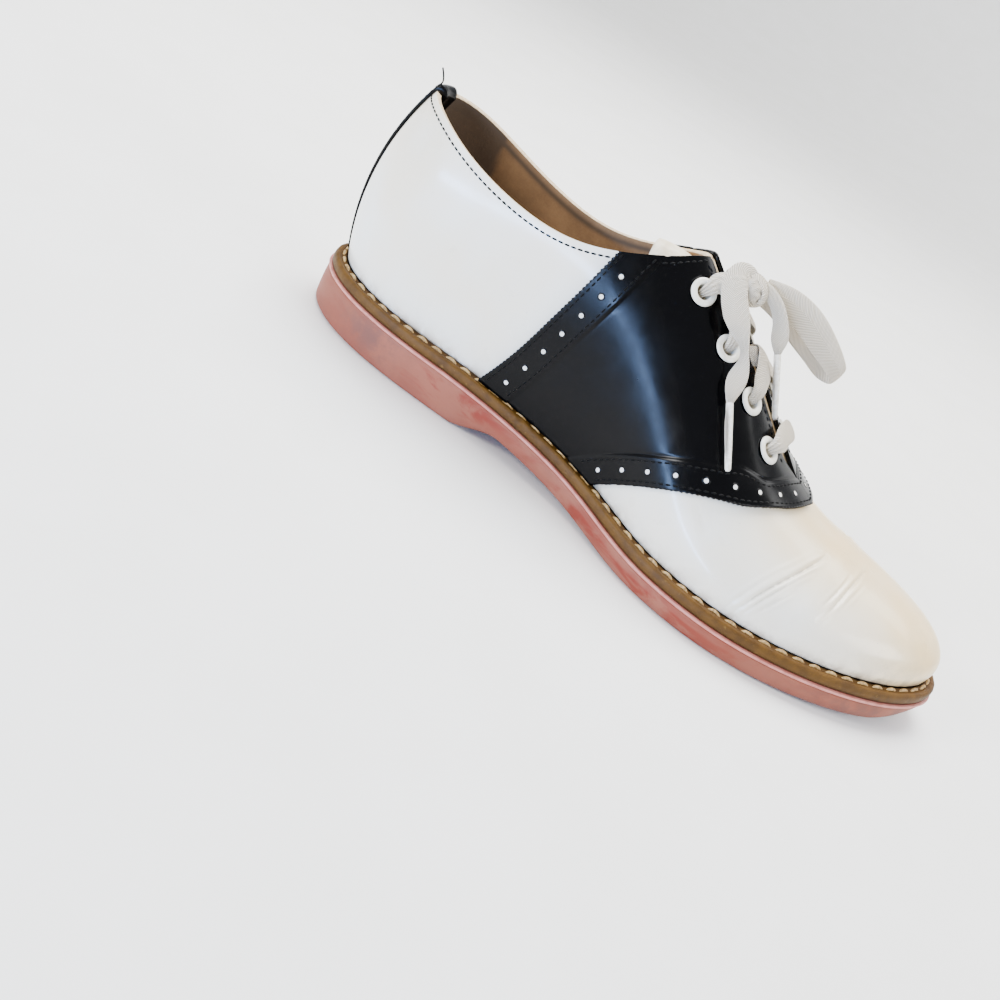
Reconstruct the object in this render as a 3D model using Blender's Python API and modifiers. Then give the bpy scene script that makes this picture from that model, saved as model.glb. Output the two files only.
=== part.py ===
"""Saddle shoe for the right foot, standing empty on its sole.

The pieces are the moulded rubber outsole, the stitched welt, the insole, the white upper, the
black saddle over it, the tongue, the back strip, eight eyelets and the lace with its bow.
Lengths are in metres, +X points to the toe, +Y to the inner side of the foot and +Z up. The
last is worked out with X counted from the back of the heel, and every mesh is then moved so
that the origin lies on the floor under the middle of the sole.
"""

import math
from collections import namedtuple

import bmesh
import bpy
import numpy as np
from mathutils import Matrix, Vector

# Sizes of the sole
SHOE_LENGTH = 0.280
HEEL_WIDTH = 0.064
WAIST_WIDTH = 0.058
BALL_WIDTH = 0.098
SOLE_THICKNESS = 0.0084
HEEL_RISE = 0.0075
HEEL_LENGTH = 0.081
BREAST_LENGTH = 0.022
TOE_SPRING = 0.0045
SPRING_START = 0.72
SPRING_POWER = 1.8
HEEL_RISE_START = 0.24
HEEL_RISE_END = 0.62
SOLE_EDGE_ROUND = 0.0016
TOE_UNDERCUT = 0.0030
UNDERCUT_START = 0.93

# Sizes of the welt and the insole
WELT_THICKNESS = 0.0043
WELT_LEDGE = 0.0050
WELT_SEAT = 0.0022
WELT_CHAMFER = 0.0008
INSOLE_THICKNESS = 0.0037

# Sizes of the upper
BACK_HEIGHT = 0.0910
INSTEP_HEIGHT = 0.0870
TOE_HEIGHT = 0.0400
UPPER_WALL = 0.0022
SLIT_WIDTH = 0.009
SLIT_END = 0.196
SLIT_CLOSING = 0.012
FACING_CORNER = 0.16

# Sizes of the pieces on the upper
SADDLE_THICKNESS = 0.0013
TONGUE_THICKNESS = 0.0026
TONGUE_WIDTH = 0.046
TONGUE_TOP = 0.108
TONGUE_END = 0.200
TONGUE_FOLD = 0.132
TONGUE_DROP = 0.013
TONGUE_BEND = 1.4
STRIP_WIDTH = 0.010
STRIP_THICKNESS = 0.0011
STRIP_FOLD = 0.008
EYELET_RADIUS = 0.0050
EYELET_BORE = 0.0027
EYELET_BARREL = 0.0004
EYELET_FLANGE = 0.0009
EYELET_SETBACK = 0.0095
EYELET_ROWS = (0.1311, 0.1490, 0.1655, 0.1800)

# Sizes of the lace
LACE_WIDTH = 0.0080
LACE_THICKNESS = 0.0012
LACE_BUNCHED = 0.0034
LACE_CLIMB = 0.010
LACE_TUBE = 0.0040
AGLET_LENGTH = 0.0230
AGLET_WIDTH = 0.0026
KNOT_SIZE = (0.0110, 0.0096, 0.0080)
KNOT_MIDDLE = (0.1432, -0.0010, 0.0961)

# Touching meshes keep this much air between them
GAP = 0.0003

# How finely the shapes are cut
RIBS = 40
RIB_STEPS = 12
RIB_CROWDING = 1.35
CORNER_RIBS = (0.415, 0.440, 0.455, 0.470, 0.490)
TONGUE_STEPS = (13, 11)
EYELET_STEPS = 12
NEAREST_RIBS = 0.0025
DENSE = 1440
END_STEPS = 201
DOWN_TO = 0.3
RIM_STEP = 0.01

LATERAL = -1
MEDIAL = 1

# The sole's outline, once round from the back of the heel past the little toe
Rim = namedtuple("Rim", "along across")
OUTLINE = (
    Rim(0.000, -0.02 * HEEL_WIDTH),
    Rim(0.028, -0.29 * HEEL_WIDTH),
    Rim(0.100, -0.48 * HEEL_WIDTH),
    Rim(0.220, -0.53 * HEEL_WIDTH),
    Rim(0.360, -0.53 * WAIST_WIDTH),
    Rim(0.480, -0.57 * WAIST_WIDTH),
    Rim(0.600, -0.475 * BALL_WIDTH),
    Rim(0.700, -0.51 * BALL_WIDTH),
    Rim(0.810, -0.44 * BALL_WIDTH),
    Rim(0.910, -0.29 * BALL_WIDTH),
    Rim(0.975, -0.11 * BALL_WIDTH),
    Rim(1.000, 0.08 * BALL_WIDTH),
    Rim(0.977, 0.26 * BALL_WIDTH),
    Rim(0.910, 0.40 * BALL_WIDTH),
    Rim(0.810, 0.475 * BALL_WIDTH),
    Rim(0.710, 0.485 * BALL_WIDTH),
    Rim(0.600, 0.43 * BALL_WIDTH),
    Rim(0.480, 0.52 * WAIST_WIDTH),
    Rim(0.360, 0.46 * WAIST_WIDTH),
    Rim(0.220, 0.455 * HEEL_WIDTH),
    Rim(0.100, 0.46 * HEEL_WIDTH),
    Rim(0.028, 0.28 * HEEL_WIDTH),
)

# The top line of the last seen from the side, its middle, and where each rib meets it
Ridge = namedtuple("Ridge", "along height middle")
RIDGE = (
    Ridge(0.10, 1.42 * INSTEP_HEIGHT, 0.00 * BALL_WIDTH),
    Ridge(0.30, 1.36 * INSTEP_HEIGHT, 0.00 * BALL_WIDTH),
    Ridge(0.42, 1.18 * INSTEP_HEIGHT, 0.00 * BALL_WIDTH),
    Ridge(0.50, 1.00 * INSTEP_HEIGHT, 0.00 * BALL_WIDTH),
    Ridge(0.58, 0.83 * INSTEP_HEIGHT, 0.00 * BALL_WIDTH),
    Ridge(0.66, 1.375 * TOE_HEIGHT, 0.01 * BALL_WIDTH),
    Ridge(0.74, 1.095 * TOE_HEIGHT, 0.02 * BALL_WIDTH),
    Ridge(0.82, 1.00 * TOE_HEIGHT, 0.04 * BALL_WIDTH),
    Ridge(0.90, 0.93 * TOE_HEIGHT, 0.05 * BALL_WIDTH),
)
Spine = namedtuple("Spine", "along ridge")
SPINE = (
    Spine(0.00, 0.13),
    Spine(0.12, 0.17),
    Spine(0.30, 0.30),
    Spine(0.50, 0.50),
    Spine(0.72, 0.71),
    Spine(0.86, 0.80),
    Spine(1.00, 0.86),
)

# How each rib leaves the welt and rounds over: shares of its own height and half width
Rib = namedtuple("Rib", "along rise lean crown")
OUTER_RIBS = (
    Rib(0.00, 0.56, 0.18, 0.36),
    Rib(0.12, 0.50, 0.10, 0.54),
    Rib(0.30, 0.54, 0.05, 0.78),
    Rib(0.45, 0.57, 0.04, 0.70),
    Rib(0.60, 0.53, 0.055, 0.56),
    Rib(0.75, 0.53, 0.10, 0.51),
    Rib(0.90, 0.59, 0.15, 0.55),
    Rib(1.00, 0.65, 0.20, 0.62),
)
INNER_RIBS = (
    Rib(0.00, 0.56, 0.18, 0.36),
    Rib(0.12, 0.50, 0.10, 0.54),
    Rib(0.30, 0.54, 0.05, 0.78),
    Rib(0.45, 0.57, 0.04, 0.70),
    Rib(0.60, 0.55, 0.055, 0.58),
    Rib(0.75, 0.57, 0.10, 0.54),
    Rib(0.90, 0.60, 0.15, 0.56),
    Rib(1.00, 0.65, 0.20, 0.62),
)

# The collar's edge seen from the side, from the back rim to the top of the facing
Collar = namedtuple("Collar", "along height")
COLLAR = (
    Collar(0.00, 1.010 * BACK_HEIGHT),
    Collar(0.05, 0.990 * BACK_HEIGHT),
    Collar(0.12, 0.935 * BACK_HEIGHT),
    Collar(0.22, 0.880 * BACK_HEIGHT),
    Collar(0.32, 0.895 * BACK_HEIGHT),
    Collar(0.40, 0.995 * BACK_HEIGHT),
    Collar(0.46, 1.115 * BACK_HEIGHT),
    Collar(0.50, 1.250 * BACK_HEIGHT),
)

# The saddle's rear and front edges, by how far up a rib each point lies
Cut = namedtuple("Cut", "up rear front")
SADDLE_CUT = (
    Cut(0.00, 0.300, 0.495),
    Cut(0.25, 0.323, 0.580),
    Cut(0.50, 0.339, 0.652),
    Cut(0.75, 0.353, 0.712),
    Cut(1.00, 0.363, 0.745),
)

# How a strand of lace leaves its eyelet: distance from the hole, height over the upper, width
Strand = namedtuple("Strand", "away over width")
STRAND = (
    Strand(-0.0005, 0.0020, LACE_BUNCHED),
    Strand(0.0006, 0.0030, LACE_BUNCHED),
    Strand(0.0019, 0.0041, 0.5 * LACE_WIDTH),
    Strand(0.0036, 0.0044, 0.7 * LACE_WIDTH),
    Strand(0.0065, 0.0043, LACE_WIDTH),
    Strand(0.0100, 0.0038, LACE_WIDTH),
    Strand(0.0140, 0.0035, LACE_WIDTH),
)
STRAND_LAST = Strand(0.0175, 0.0034, LACE_WIDTH)
STRAND_LIFT = 0.0005

# The free stretches of the lace, in the last's own place
BOW_END_LATERAL = (
    (0.1424, -0.0074, 0.0955),
    (0.1442, -0.0115, 0.0925),
    (0.1490, -0.0165, 0.0870),
    (0.1550, -0.0190, 0.0815),
    (0.1580, -0.0225, 0.0750),
    (0.1612, -0.0265, 0.0682),
)
AGLET_LATERAL_END = (0.1740, -0.0345, 0.0525)
BOW_END_MEDIAL = (
    (0.1512, -0.0010, 0.0985),
    (0.1550, -0.0015, 0.0970),
    (0.1580, -0.0020, 0.0930),
    (0.1605, -0.0025, 0.0880),
    (0.1625, -0.0025, 0.0840),
)
AGLET_MEDIAL_END = (0.1763, -0.0022, 0.0645)
BOW_LOOP_MEDIAL = (
    (0.1464, 0.0040, 0.0987),
    (0.1550, 0.0100, 0.0985),
    (0.1650, 0.0150, 0.0960),
    (0.1750, 0.0200, 0.0910),
    (0.1825, 0.0245, 0.0865),
    (0.1830, 0.0260, 0.0815),
    (0.1770, 0.0240, 0.0810),
    (0.1690, 0.0195, 0.0835),
    (0.1600, 0.0150, 0.0870),
    (0.1520, 0.0100, 0.0905),
    (0.1465, 0.0060, 0.0925),
)

COLOURS = {
    "outsole": (0.60, 0.25, 0.20, 0.55),
    "welt": (0.20, 0.12, 0.06, 0.60),
    "insole": (0.30, 0.20, 0.12, 0.80),
    "upper": (0.80, 0.78, 0.70, 0.25),
    "saddle": (0.012, 0.012, 0.014, 0.22),
    "tongue": (0.72, 0.66, 0.54, 0.60),
    "back_strip": (0.012, 0.012, 0.014, 0.30),
    "eyelet": (0.80, 0.79, 0.72, 0.30),
    "lace": (0.78, 0.75, 0.68, 0.85),
    "aglet": (0.80, 0.79, 0.74, 0.30),
}


def smooth_through(knots, values, at):
    """Natural cubic curve through the knots, level past its two ends."""
    knots = np.asarray(knots, dtype=float)
    values = np.asarray(values, dtype=float)
    at = np.clip(np.asarray(at, dtype=float), knots[0], knots[-1])
    count = len(knots)
    step = np.diff(knots)
    system = np.eye(count)
    right = np.zeros(count)
    for i in range(1, count - 1):
        system[i, i - 1] = step[i - 1]
        system[i, i] = 2.0 * (step[i - 1] + step[i])
        system[i, i + 1] = step[i]
        right[i] = 6.0 * (np.diff(values)[i] / step[i] - np.diff(values)[i - 1] / step[i - 1])
    bend = np.linalg.solve(system, right)
    span = np.clip(np.searchsorted(knots, at, side="right") - 1, 0, count - 2)
    part = at - knots[span]
    width = step[span]
    slope = (values[span + 1] - values[span]) / width - width * (2.0 * bend[span] + bend[span + 1]) / 6.0
    curve = (bend[span + 1] - bend[span]) / (6.0 * width)
    return values[span] + slope * part + bend[span] / 2.0 * part**2 + curve * part**3


def column(table, name, along):
    """One column of a table, read smoothly at a place along the shoe in metres."""
    knots = [row[0] for row in table]
    return smooth_through(knots, [getattr(row, name) for row in table], np.asarray(along) / SHOE_LENGTH)


def ease(low, high, at):
    """0 below low, 1 above high, and a smooth step between."""
    share = np.clip((np.asarray(at, dtype=float) - low) / (high - low), 0.0, 1.0)
    return share * share * (3.0 - 2.0 * share)


def sole_outline():
    """Dense outline of the sole, split into an outer and an inner side from heel to toe."""
    ring = np.array([(row.along * SHOE_LENGTH, row.across) for row in OUTLINE])
    triple = np.vstack([ring, ring, ring, ring[:1]])
    chord = np.concatenate([[0.0], np.cumsum(np.linalg.norm(np.diff(triple, axis=0), axis=1))])
    first = chord[len(ring)]
    last = chord[2 * len(ring)]
    at = np.linspace(first, last, DENSE, endpoint=False)
    dense = np.stack([smooth_through(chord, triple[:, axis], at) for axis in range(2)], axis=1)
    back = int(np.argmin(dense[:, 0]))
    dense = np.roll(dense, -back, axis=0)
    dense[:, 0] -= dense[0, 0]
    dense[:, 0] *= SHOE_LENGTH / dense[:, 0].max()
    tip = int(np.argmax(dense[:, 0]))
    outer = dense[: tip + 1]
    inner = np.vstack([dense[:1], dense[:tip - 1:-1]])
    return {LATERAL: outer, MEDIAL: inner}


SIDES = sole_outline()
SHOE_MIDDLE = (SIDES[LATERAL][:, 1].min() + SIDES[MEDIAL][:, 1].max()) / 2.0


def side_arcs(side):
    """Share of the arc from heel to toe at each dense point of a side."""
    steps = np.linalg.norm(np.diff(SIDES[side], axis=0), axis=1)
    arc = np.concatenate([[0.0], np.cumsum(steps)])
    return arc / arc[-1]


def side_length(side):
    """Length of a side along the outline, in metres."""
    return np.linalg.norm(np.diff(SIDES[side], axis=0), axis=1).sum()


def side_normals(side):
    """Outward direction at each dense point of a side."""
    tangent = np.gradient(SIDES[side], axis=0)
    tangent[0] = (0.0, side)
    tangent[-1] = (0.0, -side)
    tangent /= np.linalg.norm(tangent, axis=1)[:, None]
    return np.stack([-side * tangent[:, 1], side * tangent[:, 0]], axis=1)


ARCS = {side: side_arcs(side) for side in SIDES}
NORMALS = {side: side_normals(side) for side in SIDES}


def arc_at(side, along):
    """Share of a side's arc at a distance from the back of the heel."""
    return np.interp(along, SIDES[side][:, 0], ARCS[side])


def edge_point(side, arc, inset):
    """Plan point on a side, moved inwards, with its outward direction."""
    arc = np.asarray(arc, dtype=float)
    point = np.stack([np.interp(arc, ARCS[side], SIDES[side][:, k]) for k in (0, 1)], axis=-1)
    out = np.stack([np.interp(arc, ARCS[side], NORMALS[side][:, k]) for k in (0, 1)], axis=-1)
    out /= np.linalg.norm(out, axis=-1)[..., None]
    return point - inset * out, out


def lift(along):
    """Height of the outsole's upper face above its forefoot thickness."""
    heel = HEEL_RISE * (1.0 - ease(HEEL_RISE_START * SHOE_LENGTH, HEEL_RISE_END * SHOE_LENGTH, along))
    ahead = (np.asarray(along) / SHOE_LENGTH - SPRING_START) / (1.0 - SPRING_START)
    toe = TOE_SPRING * np.clip(ahead, 0.0, 1.0) ** SPRING_POWER
    return heel + toe


def seat(along):
    """Height of the outsole's upper face, on which the welt lies."""
    return SOLE_THICKNESS + lift(along)


def tread(along):
    """Height of the outsole's lower face: flat under the heel and the ball."""
    heel = 1.0 - ease(HEEL_LENGTH, HEEL_LENGTH + BREAST_LENGTH, along)
    return lift(along) * (1.0 - heel)


def spine_along(along):
    """Where the rib that starts at this place along the outline meets the ridge."""
    return SHOE_LENGTH * column(SPINE, "ridge", along)


def ridge_point(along):
    """Point of the ridge, and its slope towards the toe."""
    step = 0.001
    height = column(RIDGE, "height", along)
    slope = (column(RIDGE, "height", along + step) - column(RIDGE, "height", along - step)) / (2.0 * step)
    point = np.stack([along, column(RIDGE, "middle", along), height], axis=-1)
    return point, slope


def rib_handles(side, arc):
    """The four points of the curve that a rib follows from the welt to the ridge."""
    plan, out = edge_point(side, arc, 0.0)
    along = plan[..., 0]
    foot_plan, out = edge_point(side, arc, WELT_LEDGE)
    foot_height = seat(foot_plan[..., 0]) + WELT_THICKNESS + GAP
    foot = np.concatenate([foot_plan, foot_height[..., None]], axis=-1)
    top, slope = ridge_point(spine_along(along))
    table = OUTER_RIBS if side == LATERAL else INNER_RIBS
    rise = column(table, "rise", along)
    lean = column(table, "lean", along)
    crown = column(table, "crown", along)
    tall = top[..., 2] - foot[..., 2]
    reach = foot[..., :2] - top[..., :2]
    low = foot.copy()
    low[..., 2] += rise * tall
    low[..., :2] += out * (lean * tall)[..., None]
    high = top.copy()
    high[..., :2] += crown[..., None] * reach
    high[..., 2] += crown * reach[..., 0] * slope
    return foot, low, high, top


def on_rib(side, arc, up):
    """Point of the last's surface at a share up a rib."""
    foot, low, high, top = rib_handles(side, np.asarray(arc, dtype=float))
    t = np.asarray(up, dtype=float)[..., None]
    back = 1.0 - t
    return back**3 * foot + 3.0 * back**2 * t * low + 3.0 * back * t**2 * high + t**3 * top


def off_rib(side, arc, up, offset):
    """Point at a distance outside the last's surface."""
    arc = np.asarray(arc, dtype=float)
    up = np.asarray(up, dtype=float)
    step = 1.0e-3
    along = on_rib(side, np.clip(arc + step, 0.0, 1.0), up) - on_rib(side, np.clip(arc - step, 0.0, 1.0), up)
    rise = on_rib(side, arc, np.clip(up + step, 0.0, 1.0)) - on_rib(side, arc, np.clip(up - step, 0.0, 1.0))
    normal = np.cross(along, rise) * -side
    normal /= np.linalg.norm(normal, axis=-1)[..., None]
    return on_rib(side, arc, up) + np.asarray(offset)[..., None] * normal, normal


def slit_half(along):
    """Half width of the opening between the facings."""
    return SLIT_WIDTH / 2.0 * (1.0 - ease(SLIT_END - SLIT_CLOSING, SLIT_END, along))


def rib_end(side, arc):
    """Share up each rib at which the upper's edge lies: collar, facing or ridge."""
    arc = np.atleast_1d(np.asarray(arc, dtype=float))
    ups = np.linspace(0.0, 1.0, END_STEPS)
    points = on_rib(side, arc[:, None], ups[None, :])
    along = points[..., 0]
    over = points[..., 2] - column(COLLAR, "height", along)
    over[along > COLLAR[-1].along * SHOE_LENGTH] = -1.0
    past = slit_half(along) - np.abs(points[..., 1] - column(RIDGE, "middle", along))
    rows = np.arange(len(arc))
    ends = []
    for miss, free in ((over, 2.0), (past, 1.0)):
        hit = np.argmax(miss > 0.0, axis=1)
        before = miss[rows, np.maximum(hit - 1, 0)]
        after = miss[rows, hit]
        share = before / np.where(hit > 0, before - after, 1.0)
        end = ups[np.maximum(hit - 1, 0)] + share * (ups[1] - ups[0])
        ends.append(np.where(hit > 0, end, free))
    near = np.clip(FACING_CORNER - np.abs(ends[0] - ends[1]), 0.0, None) / FACING_CORNER
    return np.minimum(*ends) - near * near * FACING_CORNER / 4.0


def rib_shares():
    """Shares up a rib, closer together towards its top, where it rounds over."""
    return 1.0 - (1.0 - np.linspace(0.0, 1.0, RIB_STEPS)) ** RIB_CROWDING


def instep(side, along, reach, offset):
    """Points at distances from the ridge down one side, and their outward directions."""
    ups = np.linspace(1.0, DOWN_TO, END_STEPS)
    start = along.copy()
    for _ in range(6):
        arc = arc_at(side, start)
        rib = on_rib(side, arc[:, None], ups[None, :])
        steps = np.linalg.norm(np.diff(rib, axis=1), axis=2)
        length = np.concatenate([np.zeros((len(arc), 1)), np.cumsum(steps, axis=1)], axis=1)
        up = np.array([np.interp(r, row, ups) for r, row in zip(reach, length)])
        start += along - on_rib(side, arc, up)[:, 0]
    return off_rib(side, arc, up, offset)


def over_instep(along, across, offset):
    """Points over the instep by place along the shoe and signed distance from the ridge."""
    along, across, offset = (np.array(v, dtype=float) for v in np.broadcast_arrays(along, across, offset))
    points = np.empty(along.shape + (3,))
    normals = np.empty(along.shape + (3,))
    for side in (LATERAL, MEDIAL):
        here = across * side > 0.0 if side == MEDIAL else across * side >= 0.0
        if here.any():
            points[here], normals[here] = instep(side, along[here], np.abs(across[here]), offset[here])
    return points, normals


def new_object(name, mesh, colour, collection):
    """Object with its own material, in the given collection."""
    red, green, blue, roughness = COLOURS[colour]
    finish = bpy.data.materials.new(name)
    finish.use_nodes = True
    shader = finish.node_tree.nodes["Principled BSDF"]
    shader.inputs["Base Color"].default_value = (red, green, blue, 1.0)
    shader.inputs["Roughness"].default_value = roughness
    shader.inputs["Metallic"].default_value = 0.0
    item = bpy.data.objects.new(name, mesh)
    mesh.materials.append(finish)
    collection.objects.link(item)
    return item


def to_frame(points):
    """Move points from the last's own place to the part's frame."""
    return np.asarray(points) - np.array([SHOE_LENGTH / 2.0, SHOE_MIDDLE, 0.0])


def mesh_from(name, points, faces):
    """Mesh with welded points and smooth faces that point outwards where it is closed."""
    mesh = bpy.data.meshes.new(name)
    work = bmesh.new()
    verts = [work.verts.new(p) for p in to_frame(points)]
    for face in faces:
        corners = [verts[i] for i in dict.fromkeys(face)]
        if len(corners) > 2:
            work.faces.new(corners)
    bmesh.ops.remove_doubles(work, verts=work.verts, dist=2.0e-5)
    bmesh.ops.dissolve_degenerate(work, edges=work.edges, dist=1.0e-6)
    bmesh.ops.recalc_face_normals(work, faces=work.faces)
    work.to_mesh(mesh)
    work.free()
    mesh.shade_smooth()
    mesh.set_sharp_from_angle(angle=math.radians(38.0))
    return mesh


def grid_faces(rows, columns, start=0):
    """Faces of a grid of points kept row by row."""
    faces = []
    for i in range(rows - 1):
        for j in range(columns - 1):
            a = start + i * columns + j
            faces.append((a, a + 1, a + columns + 1, a + columns))
    return faces


def paired_arcs():
    """Rib places on both sides that share their point on the ridge."""
    outer = np.linspace(0.0, 1.0, RIBS + 1)
    along = edge_point(LATERAL, outer, 0.0)[0][:, 0]
    fixed = [HEEL_LENGTH, HEEL_LENGTH + BREAST_LENGTH / 2.0, HEEL_LENGTH + BREAST_LENGTH]
    fixed = np.array(fixed + [share * SHOE_LENGTH for share in CORNER_RIBS])
    keep = [x for x in along if np.abs(x - fixed).min() > NEAREST_RIBS]
    along = np.sort(np.concatenate([keep, fixed]))
    pairs = {LATERAL: arc_at(LATERAL, along), MEDIAL: arc_at(MEDIAL, along)}
    for side in pairs:
        pairs[side][0] = 0.0
        pairs[side][-1] = 1.0
    return pairs


def ring(arcs, inset, height):
    """Closed ring of points whose inset from the outline and height follow two functions.

    The inset may also be one number for the whole ring.
    """
    sides = []
    for side in (LATERAL, MEDIAL):
        along = edge_point(side, arcs[side], 0.0)[0][:, 0]
        depth = inset(along) if callable(inset) else inset + 0.0 * along
        sides.append(edge_point(side, arcs[side], depth[:, None])[0])
    plan = np.vstack([sides[0], sides[1][1:-1][::-1]])
    return np.concatenate([plan, height(plan[:, 0])[:, None]], axis=1)


def ring_sides(count, levels, closed):
    """Faces between rings that lie one after the other."""
    faces = []
    for level in range(levels if closed else levels - 1):
        low = level * count
        high = (level + 1) % levels * count
        for i in range(count):
            j = (i + 1) % count
            faces.append((low + i, low + j, high + j, high + i))
    return faces


def ladder(count, start):
    """Faces that close a ring by rungs from its outer to its inner side."""
    half = count // 2
    faces = [(start, start + 1, start + count - 1)]
    for i in range(1, half - 1):
        faces.append((start + i, start + i + 1, start + count - i - 1, start + count - i))
    faces.append((start + half - 1, start + half, start + half + 1))
    return faces


def plate(name, arcs, profile):
    """Solid between rings, each an inset and a height function, closed below and above."""
    rings = [ring(arcs, inset, height) for inset, height in profile]
    count = len(rings[0])
    faces = ring_sides(count, len(rings), False)
    faces += ladder(count, 0)
    faces += ladder(count, (len(rings) - 1) * count)
    return mesh_from(name, np.vstack(rings), faces)


def build_outsole(arcs, parts):
    """Rubber sole with its low heel in one piece, rounded where it meets the floor."""
    def undercut(along):
        return TOE_UNDERCUT * ease(UNDERCUT_START * SHOE_LENGTH, SHOE_LENGTH, along)

    profile = (
        (lambda x: SOLE_EDGE_ROUND + undercut(x), tread),
        (lambda x: SOLE_EDGE_ROUND * 0.3 + undercut(x), lambda x: tread(x) + SOLE_EDGE_ROUND * 0.3),
        (0.0, lambda x: tread(x) + SOLE_EDGE_ROUND),
        (0.0, seat),
    )
    new_object("outsole", plate("outsole", arcs, profile), "outsole", parts)


def build_welt(arcs, parts):
    """Flat strip round the sole, on which the upper's edge stands."""
    inner = WELT_LEDGE + UPPER_WALL + WELT_SEAT
    profile = (
        (GAP, lambda x: seat(x) + GAP),
        (GAP, lambda x: seat(x) + WELT_THICKNESS - WELT_CHAMFER),
        (GAP + WELT_CHAMFER, lambda x: seat(x) + WELT_THICKNESS),
        (inner, lambda x: seat(x) + WELT_THICKNESS),
        (inner, lambda x: seat(x) + GAP),
    )
    rings = [ring(arcs, inset, height) for inset, height in profile]
    faces = ring_sides(len(rings[0]), len(rings), True)
    new_object("welt", mesh_from("welt", np.vstack(rings), faces), "welt", parts)


def build_insole(arcs, parts):
    """Board that fills the welt from inside."""
    edge = WELT_LEDGE + UPPER_WALL + WELT_SEAT + GAP
    profile = (
        (edge, lambda x: seat(x) + GAP),
        (edge, lambda x: seat(x) + GAP + INSOLE_THICKNESS),
    )
    new_object("insole", plate("insole", arcs, profile), "insole", parts)


def solidify(item, thickness, outward):
    """Give an open surface its wall."""
    wall = item.modifiers.new("wall", "SOLIDIFY")
    wall.thickness = thickness
    wall.offset = 1.0 if outward else -1.0
    wall.use_even_offset = True


def turn_faces(mesh, point, away):
    """Turn an open surface so that its faces point away from a point, or towards it."""
    work = bmesh.new()
    work.from_mesh(mesh)
    bmesh.ops.recalc_face_normals(work, faces=work.faces)
    centre = Vector(to_frame(point))
    total = sum((f.calc_center_median() - centre).dot(f.normal) * f.calc_area() for f in work.faces)
    if (total < 0.0) == away:
        bmesh.ops.reverse_faces(work, faces=work.faces)
    work.to_mesh(mesh)
    work.free()


def face_outwards(mesh):
    """Turn an open surface so that its faces point away from the middle of the shoe."""
    turn_faces(mesh, (SHOE_LENGTH / 2.0, SHOE_MIDDLE, SOLE_THICKNESS), True)


def build_upper(arcs, parts):
    """White upper as one hollow wall, open at the collar, between the facings and underneath."""
    points = []
    faces = []
    for side in (LATERAL, MEDIAL):
        ends = rib_end(side, arcs[side])
        ups = np.outer(rib_shares(), ends)
        places = np.tile(arcs[side], (RIB_STEPS, 1))
        grid = on_rib(side, places, ups)
        faces += grid_faces(RIB_STEPS, len(arcs[side]), len(points))
        points.extend(grid.reshape(-1, 3))
    mesh = mesh_from("upper", points, faces)
    face_outwards(mesh)
    solidify(new_object("upper", mesh, "upper", parts), UPPER_WALL, False)


def build_saddle(arcs, parts):
    """Black saddle over the instep, both wings in one with the band across the vamp."""
    points = []
    faces = []
    up = rib_shares()
    rear = smooth_through([c.up for c in SADDLE_CUT], [c.rear for c in SADDLE_CUT], up) * SHOE_LENGTH
    front = smooth_through([c.up for c in SADDLE_CUT], [c.front for c in SADDLE_CUT], up) * SHOE_LENGTH
    ribs = edge_point(LATERAL, arcs[LATERAL], 0.0)[0][:, 0]
    ribs = ribs[(ribs > rear[-1] + NEAREST_RIBS) & (ribs < front[-1] - NEAREST_RIBS)]
    share = np.concatenate([[0.0], (ribs - rear[-1]) / (front[-1] - rear[-1]), [1.0]])
    along = rear[:, None] + (front - rear)[:, None] * share[None, :]
    for side in (LATERAL, MEDIAL):
        arc = arc_at(side, along)
        ends = rib_end(side, arc.ravel()).reshape(arc.shape)
        grid = off_rib(side, arc, up[:, None] * ends, 2.0 * GAP)[0]
        grid[0, :, 2] += GAP
        faces += grid_faces(RIB_STEPS, len(share), len(points))
        points.extend(grid.reshape(-1, 3))
    mesh = mesh_from("saddle", points, faces)
    face_outwards(mesh)
    solidify(new_object("saddle", mesh, "saddle", parts), SADDLE_THICKNESS, True)


def build_tongue(parts):
    """Tongue under the facings, its top lying back over the opening."""
    rows, columns = TONGUE_STEPS
    along, across = np.meshgrid(
        np.linspace(TONGUE_TOP, TONGUE_END, rows),
        np.linspace(-TONGUE_WIDTH / 2.0, TONGUE_WIDTH / 2.0, columns),
        indexing="ij",
    )
    lying = np.clip((TONGUE_FOLD - along) / (TONGUE_FOLD - TONGUE_TOP), 0.0, 1.0)
    points = over_instep(along, across, -UPPER_WALL - 2.0 * GAP)[0]
    points[..., 2] -= TONGUE_DROP * lying**TONGUE_BEND
    mesh = mesh_from("tongue", points.reshape(-1, 3), grid_faces(rows, columns))
    face_outwards(mesh)
    solidify(new_object("tongue", mesh, "tongue", parts), TONGUE_THICKNESS, False)


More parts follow.
